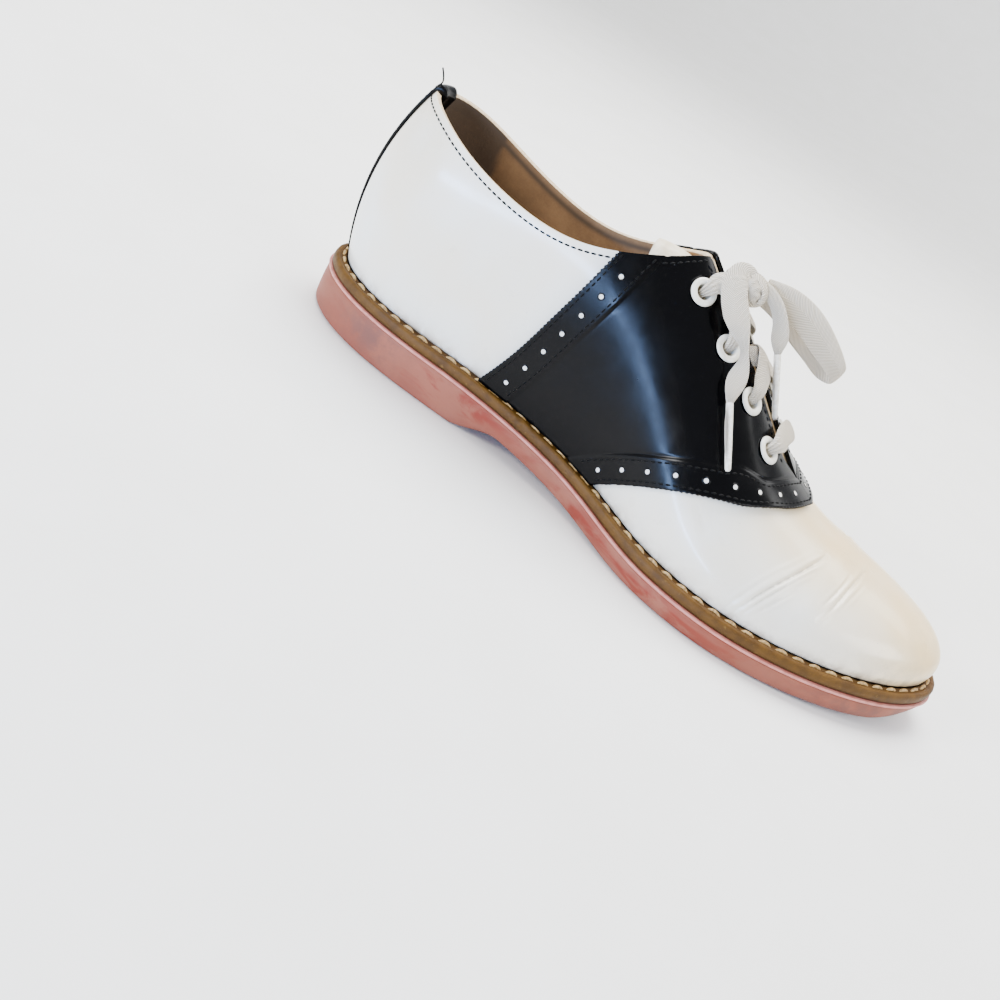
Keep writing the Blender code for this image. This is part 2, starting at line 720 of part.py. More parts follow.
def build_back_strip(parts):
    """Strip up the back seam, over the rim and a little way down inside."""
    arcs = {side: np.array([STRIP_WIDTH / 4.0, STRIP_WIDTH / 2.0]) / side_length(side) for side in SIDES}
    places = [(LATERAL, arcs[LATERAL][1]), (LATERAL, arcs[LATERAL][0]), (LATERAL, 0.0)]
    places += [(MEDIAL, arcs[MEDIAL][0]), (MEDIAL, arcs[MEDIAL][1])]
    columns = []
    for side, arc in places:
        end = rib_end(side, arc)[0]
        outside = off_rib(side, arc, np.linspace(0.0, end, RIB_STEPS), GAP)[0]
        outside[0, 2] += GAP
        rim, normal = off_rib(side, arc, end, 0.0)
        rise = rim - on_rib(side, arc, end - RIM_STEP)
        rise /= np.linalg.norm(rise)
        over = rim + 2.0 * GAP * rise
        inner = UPPER_WALL + 3.0 * GAP
        fold = [over + GAP * normal, over - inner / 2.0 * normal, over - inner * normal]
        low = end - STRIP_FOLD / np.linalg.norm(rim - on_rib(side, arc, 0.0))
        inside = off_rib(side, arc, np.array([(end + low) / 2.0, low]), -inner)[0]
        columns.append(np.vstack([outside, fold, inside]))
    grid = np.stack(columns, axis=1)
    mesh = mesh_from("back_strip", grid.reshape(-1, 3), grid_faces(grid.shape[0], grid.shape[1]))
    turn_faces(mesh, off_rib(LATERAL, 0.0, 0.5, 1.0)[0], False)
    solidify(new_object("back_strip", mesh, "back_strip", parts), STRIP_THICKNESS, True)


def eyelet_place(side, along, offset):
    """Middle of an eyelet at a height over the upper, and the direction in which it faces."""
    reach = SLIT_WIDTH / 2.0 + EYELET_SETBACK
    point, normal = over_instep(np.array([along]), np.array([side * reach]), np.array([offset]))
    return point[0], normal[0]


def stand_on(point, normal):
    """Placement that puts local +Z along a direction at a point of the last."""
    turn = Vector((0.0, 0.0, 1.0)).rotation_difference(Vector(normal))
    return Matrix.Translation(Vector(to_frame(point))) @ turn.to_matrix().to_4x4()


def cut_eyelet_holes(parts, cutters):
    """Open the saddle and the upper for the eyelets' barrels."""
    mesh = bpy.data.meshes.new("eyelet_holes")
    work = bmesh.new()
    for side in (LATERAL, MEDIAL):
        for along in EYELET_ROWS:
            bmesh.ops.create_cone(
                work,
                cap_ends=True,
                segments=EYELET_STEPS,
                radius1=EYELET_BORE + EYELET_BARREL + GAP,
                radius2=EYELET_BORE + EYELET_BARREL + GAP,
                depth=4.0 * (SADDLE_THICKNESS + UPPER_WALL),
                matrix=stand_on(*eyelet_place(side, along, 0.0)),
            )
    work.to_mesh(mesh)
    work.free()
    holes = bpy.data.objects.new("eyelet_holes", mesh)
    holes.display_type = "WIRE"
    holes.hide_render = True
    cutters.objects.link(holes)
    for name in ("saddle", "upper"):
        cut = parts.objects[name].modifiers.new("eyelet_holes", "BOOLEAN")
        cut.operation = "DIFFERENCE"
        cut.solver = "EXACT"
        cut.object = holes


def build_eyelets(parts):
    """Turned eyelets, each a rounded flange on the saddle and a barrel down to the tongue."""
    depth = SADDLE_THICKNESS + UPPER_WALL + GAP
    outer = EYELET_BORE + EYELET_BARREL
    middle = (EYELET_BORE + EYELET_RADIUS) / 2.0
    profile = (
        (EYELET_BORE, 0.4 * EYELET_FLANGE),
        (middle - EYELET_FLANGE / 2.0, EYELET_FLANGE),
        (middle + EYELET_FLANGE / 2.0, EYELET_FLANGE),
        (EYELET_RADIUS, 0.4 * EYELET_FLANGE),
        (EYELET_RADIUS, 0.0),
        (outer, 0.0),
        (outer, -depth),
        (EYELET_BORE, -depth),
    )
    ring_edges = [(i, (i + 1) % len(profile)) for i in range(len(profile))]
    for side, word in ((LATERAL, "lateral"), (MEDIAL, "medial")):
        for row, along in enumerate(EYELET_ROWS):
            name = f"eyelet_{word}_{row + 1}"
            mesh = bpy.data.meshes.new(name)
            mesh.from_pydata([(r, 0.0, z) for r, z in profile], ring_edges, [])
            item = new_object(name, mesh, "eyelet", parts)
            base = SADDLE_THICKNESS + 3.0 * GAP
            item.matrix_world = stand_on(*eyelet_place(side, along, base))
            turned = item.modifiers.new("turned", "SCREW")
            turned.steps = EYELET_STEPS
            turned.render_steps = EYELET_STEPS
            turned.use_merge_vertices = True
            turned.merge_threshold = 1.0e-5


def band(name, spine, facing, widths, thickness):
    """Flat band along a route, with bevelled edges, its broad side facing given directions."""
    forward = np.gradient(spine, axis=0)
    forward /= np.linalg.norm(forward, axis=1)[:, None]
    across = np.cross(forward, facing)
    across /= np.linalg.norm(across, axis=1)[:, None]
    upward = np.cross(across, forward)
    half = np.asarray(widths)[:, None] / 2.0
    thick = thickness / 2.0
    corners = ((-1.0, 0.0, 0.0), (-1.0, 1.0, thick), (1.0, -1.0, thick), (1.0, 0.0, 0.0))
    corners += ((1.0, -1.0, -thick), (-1.0, 1.0, -thick))
    rings = [
        spine + across * (sign * half + shift * thick) + upward * height
        for sign, shift, height in corners
    ]
    grid = np.stack(rings, axis=1)
    count = len(corners)
    faces = ring_sides(count, len(spine), False)
    faces += [tuple(range(count)), tuple(range(count * (len(spine) - 1), count * len(spine)))]
    return mesh_from(name, grid.reshape(-1, 3), faces)


def strand(side, along, climb, table, lift_by):
    """Route, broad side and widths of a strand that leaves an eyelet towards the other side."""
    away = np.array([row.away for row in table])
    reach = SLIT_WIDTH / 2.0 + EYELET_SETBACK
    place = along - climb * np.clip(away, 0.0, None) / STRAND_LAST.away
    over = np.array([row.over for row in table]) + lift_by * ease(0.004, 0.009, away)
    spine, facing = over_instep(place, side * (reach - away), over)
    return spine, facing, np.array([row.width for row in table])


def build_lace(parts, cutters):
    """The lace's bars and crossings over the tongue, each crossing one joined solid."""
    for row, word in ((0, "top"), (3, "low")):
        near = strand(LATERAL, EYELET_ROWS[row], 0.0, STRAND, 0.0)
        far = strand(MEDIAL, EYELET_ROWS[row], 0.0, STRAND[:-1], 0.0)
        joined = [np.concatenate([a, b[::-1]]) for a, b in zip(near, far)]
        mesh = band(f"lace_bar_{word}", *joined, LACE_THICKNESS)
        new_object(f"lace_bar_{word}", mesh, "lace", parts)
    for row, word in ((1, "upper"), (2, "lower")):
        table = STRAND + (STRAND_LAST,)
        near = strand(LATERAL, EYELET_ROWS[row], LACE_CLIMB, table, STRAND_LIFT)
        far = strand(MEDIAL, EYELET_ROWS[row], LACE_CLIMB, table, 0.0)
        name = f"lace_crossing_{word}"
        item = new_object(name, band(name, *near, LACE_THICKNESS), "lace", parts)
        other = bpy.data.objects.new(f"{name}_joined", band(f"{name}_joined", *far, LACE_THICKNESS))
        other.display_type = "WIRE"
        other.hide_render = True
        cutters.objects.link(other)
        join = item.modifiers.new("joined", "BOOLEAN")
        join.operation = "UNION"
        join.solver = "EXACT"
        join.object = other


def build_tube(name, route, parts):
    """Plain round tube along a free stretch of the lace."""
    route = np.array(route)
    chord = np.concatenate([[0.0], np.cumsum(np.linalg.norm(np.diff(route, axis=0), axis=1))])
    count = max(4, round(chord[-1] / (2.0 * LACE_TUBE)) + 1)
    at = np.linspace(0.0, chord[-1], count)
    points = to_frame(np.stack([smooth_through(chord, route[:, k], at) for k in range(3)], axis=1))
    curve = bpy.data.curves.new(name, "CURVE")
    curve.dimensions = "3D"
    curve.bevel_depth = LACE_TUBE / 2.0
    curve.bevel_resolution = 2
    curve.use_fill_caps = True
    spline = curve.splines.new("POLY")
    spline.points.add(len(points) - 1)
    for point, (x, y, z) in zip(spline.points, points):
        point.co = (x, y, z, 1.0)
    new_object(name, curve, "lace", parts)


def build_aglet(name, start, end, parts):
    """Stiff tip of the lace, from the end of its tube to a given point."""
    start = np.array(start)
    way = np.array(end) - start
    way /= np.linalg.norm(way)
    first = start + 2.0 * GAP * way
    mesh = bpy.data.meshes.new(name)
    work = bmesh.new()
    bmesh.ops.create_cone(
        work,
        cap_ends=True,
        segments=12,
        radius1=AGLET_WIDTH / 2.0,
        radius2=AGLET_WIDTH / 2.0,
        depth=AGLET_LENGTH,
    )
    work.to_mesh(mesh)
    work.free()
    item = new_object(name, mesh, "aglet", parts)
    item.matrix_world = stand_on(first + AGLET_LENGTH / 2.0 * way, way)


def build_knot(parts):
    """Knot of the bow as a plain rounded lump."""
    mesh = bpy.data.meshes.new("bow_knot")
    work = bmesh.new()
    shape = Matrix.Diagonal((*KNOT_SIZE, 2.0)) * 0.5
    shape[3][3] = 1.0
    bmesh.ops.create_uvsphere(work, u_segments=12, v_segments=8, radius=1.0, matrix=shape)
    work.to_mesh(mesh)
    work.free()
    item = new_object("bow_knot", mesh, "lace", parts)
    item.location = to_frame(KNOT_MIDDLE)


def build_shoe():
    """Make every piece of the shoe."""
    for item in list(bpy.data.objects):
        bpy.data.objects.remove(item, do_unlink=True)
    parts = bpy.data.collections.new("saddle_shoe")
    cutters = bpy.data.collections.new("cutters")
    bpy.context.scene.collection.children.link(parts)
    bpy.context.scene.collection.children.link(cutters)
    arcs = paired_arcs()
    build_outsole(arcs, parts)
    build_welt(arcs, parts)
    build_insole(arcs, parts)
    build_upper(arcs, parts)
    build_saddle(arcs, parts)
    build_tongue(parts)
    build_back_strip(parts)
    cut_eyelet_holes(parts, cutters)
    build_eyelets(parts)
    build_lace(parts, cutters)
    build_knot(parts)
    build_tube("bow_end_lateral", BOW_END_LATERAL, parts)
    build_tube("bow_end_medial", BOW_END_MEDIAL, parts)
    build_tube("bow_loop_medial", BOW_LOOP_MEDIAL, parts)
    build_aglet("aglet_lateral", BOW_END_LATERAL[-1], AGLET_LATERAL_END, parts)
    build_aglet("aglet_medial", BOW_END_MEDIAL[-1], AGLET_MEDIAL_END, parts)


build_shoe()
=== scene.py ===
"""Saddle shoe for the right foot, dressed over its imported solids.

Every piece is worked out on the shoe's own last. Lengths are in metres, +X points to the toe, +Y to
the inner side of the foot and +Z up. Routes and tables count X from the back of the heel, and each
mesh is moved to the part's frame as it is made.
"""

import logging
import math
from collections.abc import Callable, Sequence
from dataclasses import dataclass, field
from enum import Enum
from typing import Any

import bmesh
import bpy
import numpy as np
from mathutils import Matrix, Vector

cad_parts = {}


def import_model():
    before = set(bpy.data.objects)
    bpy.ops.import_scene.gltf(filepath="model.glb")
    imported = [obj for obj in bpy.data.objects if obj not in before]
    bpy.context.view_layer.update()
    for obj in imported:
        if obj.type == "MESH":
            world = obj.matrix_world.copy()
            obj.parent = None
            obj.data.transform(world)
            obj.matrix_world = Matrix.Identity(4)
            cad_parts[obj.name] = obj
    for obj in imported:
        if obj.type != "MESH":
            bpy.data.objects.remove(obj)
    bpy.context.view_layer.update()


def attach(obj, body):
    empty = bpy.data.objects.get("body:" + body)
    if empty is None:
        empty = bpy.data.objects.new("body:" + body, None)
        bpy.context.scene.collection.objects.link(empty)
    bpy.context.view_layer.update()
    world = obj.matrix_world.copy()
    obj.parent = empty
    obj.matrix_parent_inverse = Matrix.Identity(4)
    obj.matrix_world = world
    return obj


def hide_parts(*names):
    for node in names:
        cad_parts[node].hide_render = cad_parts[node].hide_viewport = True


log = logging.getLogger("saddle_shoe")
Array = np.ndarray
MM = 0.001


class Side(Enum):
    """The two sides of the foot, with the sign of Y on each."""

    LATERAL = -1
    MEDIAL = 1


class Band(Enum):
    """The saddle's two punched bands, with the direction along the shoe that leads into each."""

    REAR = 1.0
    FRONT = -1.0


def linear(code: str) -> tuple[float, float, float, float]:
    """Turn an sRGB hex colour into Blender's linear colour.

    Args:
        code: Six hex digits, with or without a hash sign.

    Returns:
        Linear red, green, blue and an alpha of one.
    """
    parts = [int(code.lstrip("#")[i : i + 2], 16) / 255.0 for i in (0, 2, 4)]
    red, green, blue = (c / 12.92 if c <= 0.04045 else ((c + 0.055) / 1.055) ** 2.4 for c in parts)
    return red, green, blue, 1.0


def ease(low: float, high: float, at: Array) -> Array:
    """Smooth step from 0 at low to 1 at high."""
    share = np.clip((np.asarray(at, dtype=float) - low) / (high - low), 0.0, 1.0)
    return share * share * (3.0 - 2.0 * share)


def unit(vectors: Array) -> Array:
    """Scale vectors to a length of one."""
    return vectors / np.linalg.norm(vectors, axis=-1)[..., None]


def lengths(line: Array) -> Array:
    """Distance along a line to each of its points."""
    return np.concatenate([[0.0], np.cumsum(np.linalg.norm(np.diff(line, axis=0), axis=1))])


def read(line: Array, chord: Array, at: Array | float) -> Array:
    """Read a line's columns at places between its points."""
    return np.stack([np.interp(at, chord, line[:, k]) for k in range(line.shape[1])], axis=-1)


def circle(axis: Array, turn: Array) -> Array:
    """Circle of radius one about an axis, at angles in radians."""
    first = unit(np.cross(axis, (1.0, 0.0, 0.0)))
    return first * np.cos(turn)[:, None] + np.cross(axis, first) * np.sin(turn)[:, None]


def smooth_through(knots: Sequence[float], values: Sequence[float], at: Array) -> Array:
    """Natural cubic curve through knots.

    Args:
        knots: Rising places of the knots.
        values: The curve's value at each knot.
        at: Places to read, level past the ends.

    Returns:
        The curve's values there.
    """
    knots = np.asarray(knots, dtype=float)
    values = np.asarray(values, dtype=float)
    at = np.clip(np.asarray(at, dtype=float), knots[0], knots[-1])
    count = len(knots)
    step = np.diff(knots)
    rise = np.diff(values)
    system = np.eye(count)
    right = np.zeros(count)
    for i in range(1, count - 1):
        system[i, i - 1 : i + 2] = (step[i - 1], 2.0 * (step[i - 1] + step[i]), step[i])
        right[i] = 6.0 * (rise[i] / step[i] - rise[i - 1] / step[i - 1])
    bend = np.linalg.solve(system, right)
    span = np.clip(np.searchsorted(knots, at, side="right") - 1, 0, count - 2)
    part = at - knots[span]
    width = step[span]
    slope = rise[span] / width - width * (2.0 * bend[span] + bend[span + 1]) / 6.0
    curve = (bend[span + 1] - bend[span]) / (6.0 * width)
    return values[span] + slope * part + bend[span] / 2.0 * part**2 + curve * part**3


def smooth_route(route: Sequence[Sequence[float]], spacing: float) -> Array:
    """Evenly spaced points of a smooth curve through a few chosen points.

    Args:
        route: The chosen points, of any width.
        spacing: Distance between two points of the result, in metres.

    Returns:
        An array with one row for each point.
    """
    route = np.array(route, dtype=float)
    chord = lengths(route[:, :3])
    at = np.linspace(0.0, chord[-1], max(3, round(chord[-1] / spacing) + 1))
    return np.stack([smooth_through(chord, route[:, k], at) for k in range(route.shape[1])], axis=1)


@dataclass
class Last:
    """The form on which the shoe is made, with the sole's outline and its ribs.

    The rows count along the shoe as shares of its length, from the heel to the toe.
    """

    length: float = 0.280
    heel: float = 0.064
    waist: float = 0.058
    ball: float = 0.098
    sole: float = 0.0084
    heel_rise: float = 0.0075
    heel_length: float = 0.081
    breast: float = 0.022
    spring: float = 0.0045
    welt: float = 0.0043
    ledge: float = 0.0050
    gap: float = 0.0003
    back_height: float = 0.0910
    instep_height: float = 0.0870
    toe_height: float = 0.0400
    # The slit between the facings: its width, and the place at which it closes
    slit: float = 0.009
    slit_end: float = 0.196
    # Share of a rib over which the collar rounds into the facing
    corner: float = 0.16

    def __post_init__(self) -> None:
        """Lay out the dense outline of both sides and the tables."""
        h, w, b = self.heel, self.waist, self.ball
        # The sole's outline: share of the length, and distance from the middle line
        rim = np.array(
            [(0.0, -0.02 * h), (0.028, -0.29 * h), (0.10, -0.48 * h), (0.22, -0.53 * h), (0.36, -0.53 * w),
             (0.48, -0.57 * w), (0.60, -0.475 * b), (0.70, -0.51 * b), (0.81, -0.44 * b), (0.91, -0.29 * b),
             (0.975, -0.11 * b), (1.0, 0.08 * b), (0.977, 0.26 * b), (0.91, 0.40 * b), (0.81, 0.475 * b),
             (0.71, 0.485 * b), (0.60, 0.43 * b), (0.48, 0.52 * w), (0.36, 0.46 * w), (0.22, 0.455 * h),
             (0.10, 0.46 * h), (0.028, 0.28 * h)]
        ) * (self.length, 1.0)
        triple = np.vstack([rim, rim, rim, rim[:1]])
        chord = lengths(triple)
        at = np.linspace(chord[len(rim)], chord[2 * len(rim)], 1440, endpoint=False)
        dense = np.stack([smooth_through(chord, triple[:, k], at) for k in (0, 1)], axis=1)
        dense = np.roll(dense, -int(np.argmin(dense[:, 0])), axis=0)
        dense[:, 0] -= dense[0, 0]
        dense[:, 0] *= self.length / dense[:, 0].max()
        tip = int(np.argmax(dense[:, 0]))
        inner = np.vstack([dense[:1], dense[: tip - 1 : -1]])
        self.sides = {Side.LATERAL: dense[: tip + 1], Side.MEDIAL: inner}
        self.middle = (dense[:, 1].min() + dense[:, 1].max()) / 2.0
        self.arcs: dict[Side, Array] = {}
        self.normals: dict[Side, Array] = {}
        self.girth: dict[Side, float] = {}
        for side, line in self.sides.items():
            arc = lengths(line)
            self.girth[side] = float(arc[-1])
            self.arcs[side] = arc / arc[-1]
            tangent = np.gradient(line, axis=0)
            tangent[0] = (0.0, side.value)
            tangent[-1] = (0.0, -side.value)
            tangent = unit(tangent)
            self.normals[side] = np.stack([-side.value * tangent[:, 1], side.value * tangent[:, 0]], axis=1)
        i, t, c = self.instep_height, self.toe_height, self.back_height
        # The ridge: its place, its height and its distance from the middle line
        self.ridge = np.array(
            [(0.10, 1.42 * i, 0.0), (0.30, 1.36 * i, 0.0), (0.42, 1.18 * i, 0.0), (0.50, i, 0.0),
             (0.58, 0.83 * i, 0.0), (0.66, 1.375 * t, 0.01 * b), (0.74, 1.095 * t, 0.02 * b),
             (0.82, t, 0.04 * b), (0.90, 0.93 * t, 0.05 * b)]
        )
        # Where each rib starts, and where it meets the ridge
        self.spine = np.array(
            [(0.0, 0.13), (0.12, 0.17), (0.30, 0.30), (0.50, 0.50), (0.72, 0.71), (0.86, 0.80), (1.0, 0.86)]
        )
        # The ribs: place, then rise and lean of the foot and crown of the top as shares of the height
        shared = [(0.0, 0.56, 0.18, 0.36), (0.12, 0.50, 0.10, 0.54), (0.30, 0.54, 0.05, 0.78),
                  (0.45, 0.57, 0.04, 0.70)]
        lateral = [(0.60, 0.53, 0.055, 0.56), (0.75, 0.53, 0.10, 0.51), (0.90, 0.59, 0.15, 0.55)]
        medial = [(0.60, 0.55, 0.055, 0.58), (0.75, 0.57, 0.10, 0.54), (0.90, 0.60, 0.15, 0.56)]
        toe = [(1.0, 0.65, 0.20, 0.62)]
        self.ribs = {
            Side.LATERAL: np.array(shared + lateral + toe),
            Side.MEDIAL: np.array(shared + medial + toe),
        }
        # The collar: its place and its height
        self.collar = np.array(
            [(0.0, 1.01 * c), (0.05, 0.99 * c), (0.12, 0.935 * c), (0.22, 0.88 * c), (0.32, 0.895 * c),
             (0.40, 0.995 * c), (0.46, 1.115 * c), (0.50, 1.25 * c)]
        )

    def column(self, table: Array, index: int, along: Array) -> Array:
        """Column of a table, read smoothly at places along the shoe in metres."""
        return smooth_through(table[:, 0], table[:, index], np.asarray(along) / self.length)

    def arc_at(self, side: Side, along: Array) -> Array:
        """Share of a side's outline at a distance from the back of the heel."""
        return np.interp(along, self.sides[side][:, 0], self.arcs[side])

    def edge(self, side: Side, arc: Array, inset: Array | float = 0.0) -> tuple[Array, Array]:
        """Plan points on a side of the outline.

        Args:
            side: Which side.
            arc: Shares of that side's outline.
            inset: How far inside the outline.

        Returns:
            The points and the outward directions there.
        """
        arc = np.asarray(arc, dtype=float)
        point = read(self.sides[side], self.arcs[side], arc)
        out = unit(read(self.normals[side], self.arcs[side], arc))
        return point - np.asarray(inset)[..., None] * out, out

    def lift(self, along: Array) -> Array:
        """Height that the heel and the toe spring add to the sole."""
        heel = self.heel_rise * (1.0 - ease(0.24 * self.length, 0.62 * self.length, along))
        return heel + self.spring * np.clip((np.asarray(along) / self.length - 0.72) / 0.28, 0.0, 1.0) ** 1.8

    def seat(self, along: Array) -> Array:
        """Height of the outsole's upper face."""
        return self.sole + self.lift(along)

    def tread(self, along: Array) -> Array:
        """Height of the outsole's lower face."""
        return self.lift(along) * ease(self.heel_length, self.heel_length + self.breast, along)

    def on_rib(self, side: Side, arc: Array, up: Array) -> Array:
        """Points of the last on its ribs.

        Args:
            side: Which side.
            arc: Shares of that side's outline, where the ribs start.
            up: Shares up each rib.

        Returns:
            The points.
        """
        arc = np.asarray(arc, dtype=float)
        along = self.edge(side, arc)[0][..., 0]
        foot_plan, out = self.edge(side, arc, self.ledge)
        over_welt = self.seat(foot_plan[..., 0]) + self.welt + self.gap
        foot = np.concatenate([foot_plan, over_welt[..., None]], axis=-1)
        ridge = self.length * self.column(self.spine, 1, along)
        step = 0.001
        ahead, behind = (self.column(self.ridge, 1, place) for place in (ridge + step, ridge - step))
        slope = (ahead - behind) / (2.0 * step)
        top = np.stack([ridge, self.column(self.ridge, 2, ridge), self.column(self.ridge, 1, ridge)], axis=-1)
        rise, lean, crown = (self.column(self.ribs[side], k, along) for k in (1, 2, 3))
        tall = top[..., 2] - foot[..., 2]
        reach = foot[..., :2] - top[..., :2]
        low = foot.copy()
        low[..., 2] += rise * tall
        low[..., :2] += out * (lean * tall)[..., None]
        high = top.copy()
        high[..., :2] += crown[..., None] * reach
        high[..., 2] += crown * reach[..., 0] * slope
        t = np.asarray(up, dtype=float)[..., None]
        back = 1.0 - t
        return back**3 * foot + 3.0 * back**2 * t * low + 3.0 * back * t**2 * high + t**3 * top

    def off_rib(self, side: Side, arc: Array, up: Array, offset: Array | float = 0.0) -> tuple[Array, Array]:
        """Points at a distance outside the last.

        Args:
            side: Which side.
            arc: Shares of that side's outline.
            up: Shares up each rib.
            offset: Distance outside the last.

        Returns:
            The points and the outward directions there.
        """
        arc, up = (np.array(v, dtype=float) for v in np.broadcast_arrays(arc, up))
        step = 1.0e-3
        along = self.on_rib(side, np.clip(arc + step, 0, 1), up)
        along = along - self.on_rib(side, np.clip(arc - step, 0, 1), up)
        rise = self.on_rib(side, arc, np.clip(up + step, 0, 1))
        rise = rise - self.on_rib(side, arc, np.clip(up - step, 0, 1))
        normal = np.cross(along, rise) * -side.value
        normal /= np.linalg.norm(normal, axis=-1)[..., None] + 1e-12
        return self.on_rib(side, arc, up) + np.asarray(offset)[..., None] * normal, normal

    def rib_end(self, side: Side, arc: Array) -> Array:
        """Find where the upper ends on its ribs: at the collar, the facing or the ridge.

        Args:
            side: Which side.
            arc: Shares of that side's outline.

        Returns:
            The share up each rib.
        """
        arc = np.atleast_1d(np.asarray(arc, dtype=float))
        ups = np.linspace(0.0, 1.0, 201)
        points = self.on_rib(side, arc[:, None], ups[None, :])
        along = points[..., 0]
        over = points[..., 2] - self.column(self.collar, 1, along)
        over[along > 0.5 * self.length] = -1.0
        half = self.slit / 2.0 * (1.0 - ease(self.slit_end - 0.012, self.slit_end, along))
        past = half - np.abs(points[..., 1] - self.column(self.ridge, 2, along))
        rows = np.arange(len(arc))
        ends = []
        for miss, free in ((over, 2.0), (past, 1.0)):
            hit = np.argmax(miss > 0.0, axis=1)
            before = miss[rows, np.maximum(hit - 1, 0)]
            share = before / np.where(hit > 0, before - miss[rows, hit], 1.0)
            end = ups[np.maximum(hit - 1, 0)] + share * (ups[1] - ups[0])
            ends.append(np.where(hit > 0, end, free))
        near = np.clip(self.corner - np.abs(ends[0] - ends[1]), 0.0, None) / self.corner
        return np.minimum(*ends) - near * near * self.corner / 4.0

    def below_edge(self, side: Side, arcs: Array, drop: float, offset: float) -> tuple[Array, Array]:
        """Points at a distance below the upper's edge.

        Args:
            side: Which side.
            arcs: Shares of that side's outline, where their ribs start.
            drop: Distance below the edge.
            offset: Distance outside the last.

        Returns:
            The points and the outward directions there.
        """
        ends = self.rib_end(side, arcs)
        span = np.linalg.norm(self.on_rib(side, arcs, ends) - self.on_rib(side, arcs, ends - 0.02), axis=1)
        return self.off_rib(side, arcs, ends - 0.02 * drop / span, offset)

    def over_instep(self, along: Array, across: Array, offset: Array | float) -> tuple[Array, Array]:
        """Points over the instep.

        Args:
            along: Distances from the back of the heel.
            across: Signed distances from the ridge, measured on the surface.
            offset: Distances outside the last.

        Returns:
            The points and the outward directions there.
        """
        along, across, offset = (np.array(v, dtype=float) for v in np.broadcast_arrays(along, across, offset))
        points = np.empty(along.shape + (3,))
        normals = np.empty(along.shape + (3,))
        ups = np.linspace(1.0, 0.25, 161)
        for side in Side:
            here = across > 0.0 if side is Side.MEDIAL else across <= 0.0
            if not here.any():
                continue
            want, reach = along[here], np.abs(across[here])
            start = want.copy()
            for _ in range(6):
                arc = self.arc_at(side, start)
                rib = self.on_rib(side, arc[:, None], ups[None, :])
                length = np.zeros(rib.shape[:2])
                length[:, 1:] = np.cumsum(np.linalg.norm(np.diff(rib, axis=1), axis=2), axis=1)
                up = np.array([np.interp(r, row, ups) for r, row in zip(reach, length)])
                start += want - self.on_rib(side, arc, up)[:, 0]
            points[here], normals[here] = self.off_rib(side, arc, up, offset[here])
        return points, normals

    def frame(self, points: Array) -> Array:
        """Move points from the last's own place to the part's frame."""
        return np.asarray(points) - np.array([self.length / 2.0, self.middle, 0.0])


LAST = Last()
# Point inside the shoe, from which its walls face away
INSIDE = (0.14, 0.0, 0.01)
# Spacing of the points along a crease, a thread or a lace
ROUTE_STEP = 0.0005


# Finishes


Socket = bpy.types.NodeSocket


class Weave:
    """A material's node tree under construction, with its Principled shader."""

    def __init__(self, name: str) -> None:
        """Start a material with a bare Principled shader.

        Args:
            name: The material's name.
        """
        self.material = bpy.data.materials.new(name)
        self.material.use_nodes = True
        self.tree = self.material.node_tree
        self.shader = self.tree.nodes["Principled BSDF"]
        self.place = self.add("TexCoord", out="Object")

    def add(
        self,
        kind: str,
        settings: dict[Any, Any] | None = None,
        links: dict[Any, Socket] | None = None,
        out: int | str = 0,
    ) -> Socket:
        """Add a node with its settings and links.

        Args:
            kind: Blender's name of the node's type, without its prefix.
            settings: The node's attributes, and values of its input sockets by number or name.
            links: Output sockets that feed its inputs, by the input's number or name.
            out: Number or name of the output socket that is wanted.

        Returns:
            That output socket.
        """
        made = self.tree.nodes.new("ShaderNode" + kind)
        for key, value in (settings or {}).items():
            if isinstance(key, str) and hasattr(made, key):
                setattr(made, key, value)
            else:
                made.inputs[key].default_value = value
        for key, source in (links or {}).items():
            self.tree.links.new(source, made.inputs[key])
        return made.outputs[out]

    def set(self, **values: Any) -> None:
        """Set the shader's own sockets, with underscores for spaces."""
        for key, value in values.items():
            self.shader.inputs[key.replace("_", " ")].default_value = value

    def feed(self, **sources: Socket) -> None:
        """Link output sockets to the shader's sockets."""
        for key, source in sources.items():
            self.tree.links.new(source, self.shader.inputs[key.replace("_", " ")])


@dataclass(frozen=True)
class Pattern:
    """Cloudy pattern whose features have a real size, fixed to the object."""

    size_mm: float
    detail: float = 3.0
    rough: float = 0.5
    stretch: float = 1.0
    warp: float = 0.0

    def draw(self, w: Weave) -> Socket:
        """Draw the pattern.

        Args:
            w: The material under construction.

        Returns:
            The pattern, from 0 to 1 about a middle of 0.5.
        """
        place = w.place
        if self.stretch != 1.0:
            place = w.add("Mapping", {"Scale": (1.0, 1.0, self.stretch)}, {"Vector": place})
        settings = {"Scale": 1.0 / (self.size_mm * MM), "Detail": self.detail, "Roughness": self.rough}
        return w.add("TexNoise", settings | {"Distortion": self.warp}, {"Vector": place})


